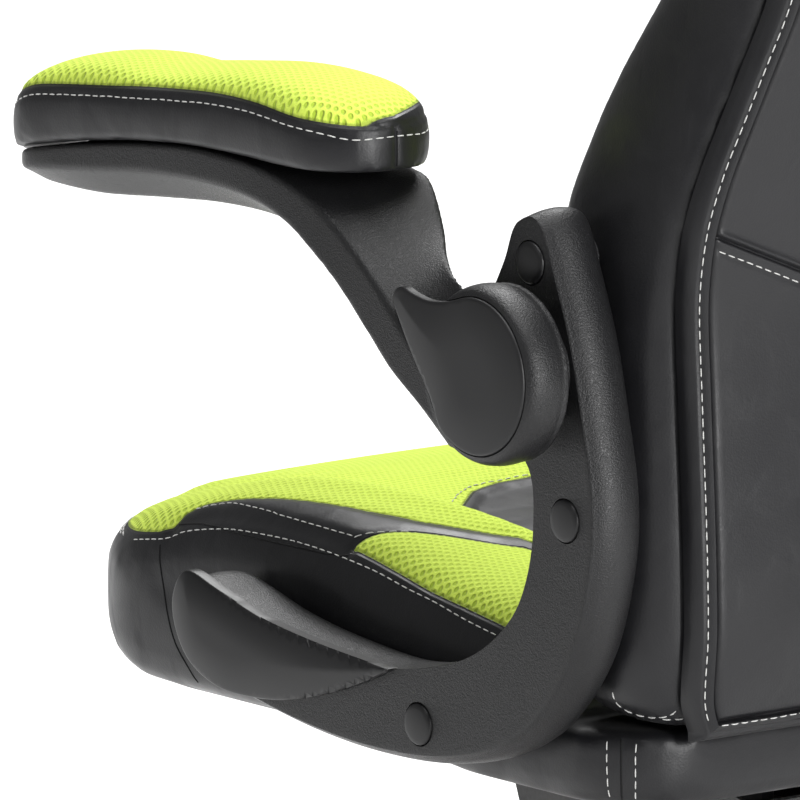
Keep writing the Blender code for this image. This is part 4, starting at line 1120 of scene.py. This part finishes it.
def pad_body(small):
    """The pad before it swells: round ends in plan, flat below and crowned on top."""
    rings = []
    end_share, power, count = 0.15, 2.4, 60
    for k in range(count + 1):
        share = 0.5 - 0.5 * math.cos(math.pi * (0.02 + 0.96 * k / count))
        from_end = min(share, 1 - share)
        width = 1.0 if from_end > end_share else (1 - (1 - from_end / end_share) ** power) ** (1 / power)
        y = PAD_Y[0] + small + share * (PAD_Y[1] - PAD_Y[0] - 2 * small)
        low, high = along(PAD_FLOOR, y) + GAP, along(PAD_CROWN, y) - small
        half = (PAD_HALF - small) * width
        high = low + (high - low) * (0.80 + 0.20 * width)
        tall = high - low
        right = [(share_x * half, low + share_z * tall) for share_x, share_z in
                 ((0.60, 0.0), (0.90, 0.02), (0.985, 0.20), (1.0, 0.44), (0.96, 0.66), (0.80, 0.86),
                  (0.42, 0.97))]
        right = [(0.0, low), *right, (0.0, high)]
        section = smooth_loop(right + [(-x, z) for x, z in reversed(right[1:-1])], 3)
        rings.append([(PAD_X + p.x, y, p.y) for p in section])
    return skin(rings)


def make_pad(side, label):
    pad = loose(moved(pad_body(0.0012), side=side))
    floor, middle = table_along(PAD_FLOOR, *PAD_Y), side * PAD_X

    def free(co):
        up = eased((co[:, 2] - floor(co[:, 1]) - 0.002) / 0.008)
        return up * (1 - 0.6 * np.exp(-((co[:, 2] - PAD_EDGE(co[:, 1])) / 0.004) ** 2))

    puffed(pad, 0.0034, 0.0018, free)
    refined(pad)
    co = coordinates(pad)
    x, y, z = side * co[:, 0] - PAD_X, co[:, 1], co[:, 2]
    lift = z - PAD_EDGE(y)
    outward = np.stack([co[:, 0] - middle, 0.35 * (y - np.clip(y, PAD_Y[0] + 0.04, PAD_Y[1] - 0.04)), 0 * z], 1)
    outward /= np.maximum(np.linalg.norm(outward, axis=1), 1e-6)[:, None]
    rim = (np.abs(x) > 0.6 * PAD_HALF) | (y < PAD_Y[0] + 0.03) | (y > PAD_Y[1] - 0.03)
    groove = rim * (0.0009 * np.exp(-(lift / 0.0018) ** 2) + 0.0005 * np.exp(-((lift + 0.0052) / 0.0022) ** 2))
    end_seam = 0.0008 * np.exp(-(x / 0.0018) ** 2) * (np.abs(y - np.mean(PAD_Y)) > 0.13) * (lift < 0)
    co -= outward * (groove + end_seam)[:, None]
    write(pad, co)

    # at the rear the mesh ends in a round edge, a little further forward on the inner side
    start, reach, power = 0.040, 0.0435, 2.6
    past = np.maximum(0, y - start + 0.3 * np.maximum(0, -x))
    rear_end = 0.04 * (1 - ((np.abs(x) / reach) ** power + (past / reach) ** power) ** (1 / power))
    mark_green(pad, np.where(y > start, np.minimum(lift, rear_end), lift))
    finished(pad, f"arm_pad_cover_{label}", FINISH["plan cover"], f"arm_{label}",
             f"arm_pad_{label}", sharp=0)

    # one stitch row all the way round, a little below the edge of the mesh
    tree = tree_of(pad)
    row = []
    for k in range(181):
        a = 2 * math.pi * k / 180
        wide, far = (math.copysign(abs(v) ** 0.42, v) for v in (math.cos(a), math.sin(a)))
        y = np.mean(PAD_Y) + 0.5 * (PAD_Y[1] - PAD_Y[0]) * far
        row.append(Vector((side * (PAD_X + PAD_HALF * wide), y, float(PAD_EDGE(y)) - 0.0052)))
    stitches(f"arm_pad_stitches_{label}", tree, [row], f"arm_{label}")
    # near-black tubes down the seams at both ends of the pad: painted shadow in these seams
    ends = [[(side * PAD_X, y, z0), (side * PAD_X, y, z1)] for y, z0, z1 in
            ((PAD_Y[1] + 0.002, 0.690, 0.671), (PAD_Y[0] - 0.002, 0.675, 0.650))]
    cords(f"arm_pad_seam_shadows_{label}", tree, ends, f"arm_{label}", 0.0006, FINISH["seam"])


# ---------------------------------------------------------------- arms and brackets

def limb():
    """The swinging arm without its hub, with rounded edges, skinned over smoothed stations."""
    columns = [[], [], [], [], []]
    for outer_top, rear, band, under, outer, inner in ARM_STATIONS:
        for column, value in zip(columns, (outer_top, rear, band, under, (outer, inner))):
            column.append(Vector(value))
    last, steps = len(ARM_STATIONS) - 1, 8
    rings = []
    for k in range(last):
        for step in range(steps + (k == last - 1)):
            top, rear, band, under, xs = (between(*(column[min(max(k + j, 0), last)] for j in (-1, 0, 1, 2)),
                                                  step / steps) for column in columns)
            outer, inner = xs
            shoulder = top.lerp(rear, 0.35)
            ridge, keel = outer - min(0.014, 0.55 * (outer - inner)), outer - min(0.016, 0.62 * (outer - inner))
            corners = [(outer, *top), (ridge, *shoulder), (inner, *rear), (inner, *under), (keel, *under),
                       (outer, *band)]
            rings.append(softened(corners, 0.0024))
    return skin(rings)


def leaf_cap_outline():
    """Leaf shape on the hub: most of a circle, drawn out to a tip towards the front and up."""
    radius = 0.041
    arc = [math.radians(100 - 235 * k / 16) for k in range(17)]
    round_end = [Vector((PIVOT_Y + radius * math.cos(a), PIVOT_Z + radius * math.sin(a))) for a in arc]
    tip = [(0.143, 0.5610), (0.129, 0.5800), (0.118, 0.5970), (0.113, 0.6070), (0.1155, 0.6130),
           (0.1215, 0.6145), (0.130, 0.6120), (0.143, 0.6100), (0.158, 0.6115)]
    return smooth_loop(round_end + [Vector(p) for p in tip], 4)


def domed(outline, base, rim, crown, reach, sunk=0.0):
    """A thin cap over an outline in (Y, Z): it stands on x = base, its rim is rounded at a height above that,
    and its face rises from there by crown over a distance of reach from the edge. Its foot may be sunk below
    the base."""
    edge_round, spacing, clear = 0.0010, 0.0016, 0.0032
    polygon = [tuple(p) for p in outline]
    points = grown(outline, 0.0)
    for inset in (0.0003, 0.0010, 0.0022):
        loop = grown(outline, -inset)
        kept = signed_distance(np.array([tuple(p) for p in loop]), polygon) > 0.85 * inset
        points += [p for p, good in zip(loop, kept) if good]
    low, high = np.min(polygon, axis=0), np.max(polygon, axis=0)
    grid = np.array([(y, z) for y in np.arange(low[0], high[0], spacing)
                     for z in np.arange(low[1], high[1], spacing)])
    points += [Vector(p) for p in grid[signed_distance(grid, polygon) > clear]]
    count = len(outline)
    border = [(k, (k + 1) % count) for k in range(count)]
    verts, _, faces, *_ = delaunay_2d_cdt(points, border, [], 1, 1e-6)
    depth = np.maximum(signed_distance(np.array([tuple(v) for v in verts]), polygon), 0)
    bevel = np.sqrt(np.maximum(0, 1 - (1 - np.minimum(depth / edge_round, 1)) ** 2)) * edge_round
    face = crown * (1 - (1 - np.minimum(depth / reach, 1)) ** 2)
    bm = bmesh.new()
    top = [bm.verts.new((base + rim - edge_round + rise, v.x, v.y)) for v, rise in zip(verts, bevel + face)]
    for corners in faces:
        bm.faces.new([top[k] for k in corners])
    rim_edges = [e for e in bm.edges if len(e.link_faces) == 1]
    made = bmesh.ops.extrude_edge_only(bm, edges=rim_edges)["geom"]
    foot = [g for g in made if isinstance(g, bmesh.types.BMVert)]
    for vertex in foot:
        vertex.co.x = base - sunk
    bmesh.ops.holes_fill(bm, edges=[e for e in bm.edges if len(e.link_faces) == 1], sides=0)
    bmesh.ops.recalc_face_normals(bm, faces=bm.faces)
    return bm


def make_swinging_arm(side, label):
    hub_profile = [(0, HUB_X[0]), (0.0440, HUB_X[0]), (0.0462, 0.3042), (0.0469, 0.3055), (0.0462, 0.3068),
                   (0.0455, 0.3074), (0.0462, 0.3084), (0.0470, 0.3110), (0.0474, 0.3160), (0.0471, 0.3205),
                   (0.0462, 0.3245), (0.0446, 0.3277), (0.0425, 0.3294), (0.0395, 0.3301), (0, 0.3303)]
    arm = loose(limb())
    joined(arm, [across(turned(hub_profile, 128), PIVOT_Y, PIVOT_Z)])
    remeshed(arm, 0.00135, 3)
    outline = leaf_cap_outline()
    pocket = skin([[(x, *p) for p in grown(outline, by)] for by, x in
                   ((0.0007, CAP_FLOOR), (0.0007, 0.3296), (0.0016, 0.3310), (0.0030, 0.350))])
    bore = across(cylinder(0.0082, 0.29, 0.33), PIVOT_Y, PIVOT_Z)
    joined(arm, (), [pocket, bore])
    mirror(arm, side)
    body = f"arm_{label}"
    finished(arm, f"swinging_arm_{label}", FINISH["nylon"], body, f"flip_arm_{label}", sharp=45)
    cap = domed(outline, CAP_FLOOR + GAP, 0.0050, 0.0020, 0.026)
    show(moved(cap, side=side), f"leaf_cap_{label}", FINISH["satin"], body,
         f"hub_leaf_cap_{label}", 50)


def make_bracket(side, label):
    steps = 6
    loop = smooth_loop(BRACKET_REAR + BRACKET_OPENING, steps)
    total, rear = len(loop), len(BRACKET_REAR) * steps
    weight = np.array([1.0 if k < rear else 0.16 for k in range(total)])
    kernel = np.ones(9) / 9
    weight = np.convolve(np.concatenate([weight[-4:], weight, weight[:4]]), kernel, "valid")
    # the plate's sections from inside out: inset of its rear edge in millimetres, and X
    sections = [(7.5, 0.0), (6.6, 0.0004), (4.2, 0.0018), (2.4, 0.0046), (0.9, 0.0086), (0.1, 0.0130),
                (0.0, 0.0160), (0.35, 0.0195), (1.1, 0.0228), (2.2, 0.0258), (3.6, 0.0284), (4.7, 0.0300),
                (5.15, 0.0308), (5.5, 0.03145), (6.0, 0.0319), (6.7, 0.0320), (9.5, 0.0320)]
    plate = skin([[(BRACKET_X[0] + x, *p) for p in grown(loop, [-0.001 * inset * w for w in weight])]
                  for inset, x in sections])
    bracket = loose(plate)
    boss = across(turned(eased_profile([(0, 0.264), (BOSS_RADIUS, 0.264), (BOSS_RADIUS, HUB_X[0] - 0.0012),
                                        (0, HUB_X[0] - 0.0012)], 0.0012), 96), PIVOT_Y, PIVOT_Z)
    spacers = [across(cylinder(0.0125, SEAT_HALF + GAP, BRACKET_X[0] + 0.003), *spot)
               for spot in [*PLUGS.values(), FRONT_SPACER]]
    recesses = [across(cylinder(PLUG_R + 0.0007, BRACKET_X[1] - 0.004, BRACKET_X[1] + 0.01, 72), *spot)
                for spot in PLUGS.values()]
    bore = across(cylinder(0.0082, 0.262, 0.32), PIVOT_Y, PIVOT_Z)
    joined(bracket, [boss, *spacers], [*recesses, bore])
    mirror(bracket, side)
    finished(bracket, f"bracket_{label}", FINISH["nylon"], "seat", f"arm_bracket_{label}", sharp=32)

    floor = BRACKET_X[1] - 0.0037
    for spot_label, (y, z) in PLUGS.items():
        profile = [(radius, floor + rise) for radius, rise in
                   ((0, 0), (PLUG_R, 0), (PLUG_R, 0.0042), (0.0108, 0.0048), (0.0100, 0.0052),
                    (0.0080, 0.0055), (0.0040, 0.0058), (0, 0.0059))]
        show(across(turned(profile, 72), y, z, side), f"plug_{spot_label}_{label}", FINISH["satin"], "seat",
             f"bracket_plug_{spot_label}_{label}", 50)
    leaf = smooth_loop(SEAT_COVER_OUTLINE, 6)
    cover = domed(leaf, BRACKET_X[1] + GAP, 0.0040, 0.0032, 0.022, 0.0030)
    show(moved(cover, side=side), f"leaf_cover_{label}", FINISH["satin"], "seat",
         f"seat_leaf_cover_{label}", 50)


# ---------------------------------------------------------------- base, casters and covers

def leg(angle):
    """One leg of the star, with a round end over the caster's stem and a raised rib along its top."""
    keys = [(0.026, 0.0268, 0.0660, 0.1125), (0.060, 0.0248, 0.0658, 0.1090), (0.090, 0.0235, 0.0655, 0.1060),
            (0.180, 0.0200, 0.0650, 0.0980), (0.270, 0.0180, 0.0645, 0.0905), (0.325, 0.0178, 0.0640, 0.0865),
            (0.341, 0.0165, 0.0640, 0.0857), (0.3495, 0.0110, 0.0641, 0.0838), (0.3535, 0.0030, 0.0648, 0.0812)]
    rings = []
    for out, half, low, high in smooth_path(keys, 4):
        shoulder, rib = 0.35 * (high - low), 0.0012
        right = [(half, low), (half, high - shoulder), (0.62 * half, high - rib), (0.34 * half, high - rib),
                 (0.28 * half, high)]
        corners = [(out, -half, low), *((out, y, z) for y, z in right),
                   *((out, -y, z) for y, z in reversed(right[1:]))]
        rings.append(softened(corners, 0.0028, 3))
    return moved(skin(rings), turn=Matrix.Rotation(angle, 4, "Z"))


def leg_angle(number):
    return math.radians(-90 + 360 / LEGS * number)


def make_base():
    hub = eased_profile([(0.0254, HUB_Z[0]), (HUB_R, HUB_Z[0]), (HUB_R, 0.108), (0.0335, HUB_Z[1]),
                         (0.0254, HUB_Z[1])], 0.002)
    base = loose(turned(hub, 96, tube=True))
    joined(base, [leg(leg_angle(number)) for number in range(LEGS)], [cylinder(0.0254, 0.05, 0.13)])
    remeshed(base, 0.0019, 4)
    sockets = [moved(cylinder(0.0061, 0.055, 0.0815), (STEM_CIRCLE * math.cos(a), STEM_CIRCLE * math.sin(a), 0))
               for a in map(leg_angle, range(LEGS))]
    joined(base, (), sockets)
    finished(base, "base", FINISH["nylon"], "base", "star_base", sharp=45)


def caster_hood():
    """Hood with its web and stub axles, in a frame at the stem: the axle is CASTER_TRAIL along +X."""
    steps = 40
    arc = [math.radians(-15 + 210 * k / steps) for k in range(steps + 1)]
    outline = [Vector((CASTER_TRAIL + 0.0306 * math.cos(a), WHEEL_R + 0.0306 * math.sin(a))) for a in arc]
    width = WHEEL_OUT + 0.0004
    sections = [(-0.0022, -width), (-0.0008, 0.0006 - width), (0.0, 0.0022 - width), (0.0, width - 0.0022),
                (-0.0008, width - 0.0006), (-0.0022, width)]
    block = loose(skin([[(p.x, y, p.y) for p in grown(outline, by)] for by, y in sections]))
    boss = turned(eased_profile([(0, 0.046), (0.0105, 0.046), (0.0105, HOOD_TOP), (0, HOOD_TOP)], 0.001), 48)
    wells = [moved(cylinder(0.0276, 0.0069, 0.030, 72), (CASTER_TRAIL, 0, WHEEL_R),
                   Matrix.Rotation(math.radians(90 * s), 4, "X")) for s in (-1, 1)]
    stub = moved(cylinder(0.0040, -0.0232, 0.0232), (CASTER_TRAIL, 0, WHEEL_R),
                 Matrix.Rotation(math.radians(90), 4, "X"))
    joined(block, [boss], wells)
    return joined(block, [stub], [cylinder(0.0059, 0.036, 0.06)])


def wheel(side):
    """One wheel of a caster: a crowned tread, a dished face with a raised ring and a small hub."""
    low, high = WHEEL_IN, WHEEL_OUT
    corners = [(0.0045, low), (WHEEL_R - 0.0035, low), (WHEEL_R, low + 0.0026), (WHEEL_R, high - 0.0040),
               (WHEEL_R - 0.0028, high - 0.0004), (0.0205, high), (0.0190, high - 0.0016),
               (0.0110, high - 0.0020), (0.0100, high - 0.0004), (0.0045, high - 0.0002)]
    body = turned(eased_profile(corners, 0.0007), 72, tube=True)
    return loose(moved(body, (CASTER_TRAIL, 0, WHEEL_R), Matrix.Rotation(math.radians(-90 * side), 4, "X")))


def make_casters():
    masters = {"hood": caster_hood(), "a": wheel(1), "b": wheel(-1)}
    for number in range(LEGS):
        a, label = leg_angle(number), number + 1
        outwards = Vector((math.cos(a), math.sin(a), 0))
        at_stem = Matrix.Translation(STEM_CIRCLE * outwards) @ Matrix.Rotation(a, 4, "Z")
        for key, master in masters.items():
            mesh = master.data.copy()
            mesh.transform(at_stem)
            copy = placed(key, mesh)
            if key == "hood":
                finished(copy, f"hood_{label}", FINISH["satin"], f"caster_{label}",
                         f"caster_hood_{label}")
            else:
                finished(copy, f"wheel_{label}{key}", FINISH["tread"], f"wheel_{label}{key}",
                         f"caster_wheel_{label}{key}")
    for master in masters.values():
        bpy.data.objects.remove(master)


def make_covers():
    """The telescopic covers and the gas tube, the tension knob and the tension spring."""
    def turned_piece(name, corners, finish, body, node):
        profile = eased_profile(corners + corners[:1], 0.0008)[:-1]
        show(turned(profile, 96, tube=True), name, FINISH[finish], body, node)

    turned_piece("telescope_lower", [(0.0318, HUB_Z[1] + GAP), (0.0332, HUB_Z[1] + GAP), (0.0332, 0.186),
                                     (0.0345, 0.190), (0.0318, 0.190)], "satin", "base", "cover_lower")
    turned_piece("telescope_middle", [(0.0293, 0.127), (0.0308, 0.127), (0.0308, 0.218), (0.0316, 0.221),
                                      (0.0293, 0.221)], "satin", "cover_middle", "cover_middle")
    turned_piece("telescope_upper", [(0.0269, 0.150), (0.0284, 0.150), (0.0284, 0.2600), (0.0250, 0.2675),
                                     (0.0147, 0.2675), (0.0147, 0.2640), (0.0269, 0.2590)], "satin", "column",
                 "cover_upper")
    turned_piece("gas_tube", [(0.0056, 0.052), (0.0250, 0.052), (0.0250, 0.255), (0.0150, 0.255),
                              (0.0150, 0.058), (0.0056, 0.058)], "paint", "base",
                 "gas_outer_tube")

    knob = loose(moved(turned(eased_profile([(0, 0.2190), (0.0225, 0.2190), (0.0260, 0.2230), (0.0260, 0.2480),
                                             (0.0240, 0.2520), (0.0180, 0.2520), (0.0180, 0.2270), (0, 0.2270)],
                                            0.001), 96), (0, BOLT_Y, 0)))
    flutes = [moved(cylinder(0.0032, 0.21, 0.26, 20), (0.0282 * math.cos(a), BOLT_Y + 0.0282 * math.sin(a), 0))
              for a in (2 * math.pi * k / 16 for k in range(16))]
    joined(knob, (), [*flutes, moved(cylinder(0.0045, 0.21, 0.26), (0, BOLT_Y, 0))])
    finished(knob, "knob", FINISH["satin"], "tension_knob", "tension_knob")

    turns, per_turn, wire, coil, low, high = 4.5, 40, 0.0021, 0.0115, 0.2297, 0.2656
    rings = []
    for k in range(int(turns * per_turn) + 1):
        a = 2 * math.pi * k / per_turn
        centre = Vector((coil * math.cos(a), coil * math.sin(a) + BOLT_Y,
                         low + (high - low) * k / (turns * per_turn)))
        out, up = Vector((math.cos(a), math.sin(a), 0)), Vector((0, 0, 1))
        rings.append([centre + wire * (math.cos(b) * out + math.sin(b) * up)
                      for b in (2 * math.pi * j / 14 for j in range(14))])
    show(skin(rings), "spring", FINISH["steel"], "column", "tension_spring")


def make_lever():
    """The paddle of the height lever, bored for its rod."""
    outline = [(-0.212, -0.029), (-0.212, -0.043), (-0.228, -0.066), (-0.246, -0.079), (-0.282, -0.082),
               (-0.294, -0.074), (-0.296, -0.050), (-0.288, -0.034), (-0.262, -0.028)]
    loop = smooth_loop(outline, 8)
    sections = [(-0.0090, 0.2903), (-0.0050, 0.2896), (-0.0030, 0.2897), (-0.0012, 0.2905), (-0.0002, 0.2922),
                (0.0, 0.2945), (0.0, 0.2995), (-0.0002, 0.3018), (-0.0012, 0.3035), (-0.0030, 0.3043),
                (-0.0050, 0.3044), (-0.0090, 0.3037)]
    handle = loose(skin([[(*p, z) for p in grown(loop, by)] for by, z in sections]))
    joined(handle, (), [across(cylinder(0.0055, -0.2435, -0.200), LEVER_Y, LEVER_Z)])
    finished(handle, "handle", FINISH["nylon"], "height_lever", "lever_handle")


# ---------------------------------------------------------------- studio

def light(name, place, aim, size, power):
    """A softbox of a size in metres and a power in watts."""
    lamp = bpy.data.lights.new(name, "AREA")
    lamp.shape = "RECTANGLE"
    lamp.size, lamp.size_y = size
    lamp.energy = power
    made = placed(name, lamp)
    made.location = place
    made.rotation_euler = (Vector(aim) - Vector(place)).to_track_quat("-Z", "Y").to_euler()


def make_studio():
    s = Surface("pale floor", Specular_IOR_Level=0.1, Emission_Color=(1.0, 1.0, 1.0), Emission_Strength=0.22)
    drift = s.noise(0.7, 2.0)
    finish = s.finish(s.mix(drift, (0.90, 0.90, 0.90), (0.93, 0.93, 0.93)), 0.9)
    bm = bmesh.new()
    bmesh.ops.create_grid(bm, x_segments=4, y_segments=4, size=30)
    floor = loose(bm, "floor")
    floor.location.z = -0.0005
    floor.data.materials.append(finish)

    world = bpy.data.worlds.new("studio")
    bpy.context.scene.world = world
    world.use_nodes = True
    world.node_tree.nodes["Background"].inputs["Color"].default_value = (1.0, 1.0, 1.0, 1)
    world.node_tree.nodes["Background"].inputs["Strength"].default_value = 0.22

    aim = (0.2, 0.1, 0.6)
    light("overhead", (0.4, 0.6, 3.2), aim, (2.2, 2.2), 70)
    light("rear softbox", (0.10, 3.6, 1.0), aim, (0.6, 1.9), 105)
    light("side softbox", (3.8, -0.4, 2.2), aim, (1.2, 1.2), 10)
    light("floor softbox", (-2.4, -3.0, 5.2), (-2.4, -3.0, 0.0), (3.0, 3.0), 330)


VIEW_AZIMUTH, VIEW_ELEVATION, VIEW_DISTANCE = 142.0, 9.5, 5.0
VIEW_AIM = Vector((0.36109, 0.15814, 0.56336))
FOCAL_LENGTH, SENSOR = 438.75, 36.0


def make_camera():
    a, e = math.radians(VIEW_AZIMUTH), math.radians(VIEW_ELEVATION)
    back = Vector((math.sin(a) * math.cos(e), -math.cos(a) * math.cos(e), math.sin(e)))
    camera = bpy.data.cameras.new("camera")
    camera.lens, camera.sensor_width = FOCAL_LENGTH, SENSOR
    camera.clip_end = 200
    made = placed("camera", camera)
    made.location = VIEW_AIM + VIEW_DISTANCE * back
    made.rotation_euler = back.to_track_quat("Z", "Y").to_euler()
    bpy.context.scene.camera = made
    bpy.context.scene.view_settings.view_transform = "Standard"


# ---------------------------------------------------------------- the whole

make_camera()
make_studio()

FINISH = {
    "nylon": grained_nylon(),
    "satin": satin_nylon(),
    "leather": leather(),
    "plan cover": sewn_cover("cover with mesh in plan", "X", "Y"),
    "front cover": sewn_cover("cover with mesh in front", "X", "Z"),
    # the "seam" finish is the painted seam shadow of the sunk tubes
    "thread": thread_material(),
    "seam": seam_shadow_material(),
    "steel": steel(),
    "paint": powder_coat(),
    "tread": tread(),
    "plywood": plywood(),
}
SLOT_FINISH = {"nylon": "satin", "steel": "steel", "black_paint": "paint", "black_leather": "leather",
               "cushion_cover": "leather", "green_mesh": "leather", "plywood": "plywood", "tyre": "tread"}

make_seat()
make_back()
make_board()
for SIDE, LABEL in ((1, "left"), (-1, "right")):
    make_pad(SIDE, LABEL)
    make_swinging_arm(SIDE, LABEL)
    make_bracket(SIDE, LABEL)
make_base()
make_casters()
make_covers()
make_lever()

# the CAD nodes that stay get their finish in their material slots
for row in frame["record"]["subparts"]:
    node = frame["nodes"][row["node"]]
    for slot in node.material_slots:
        slot.material = FINISH[SLOT_FINISH[row["material_slot"]]]
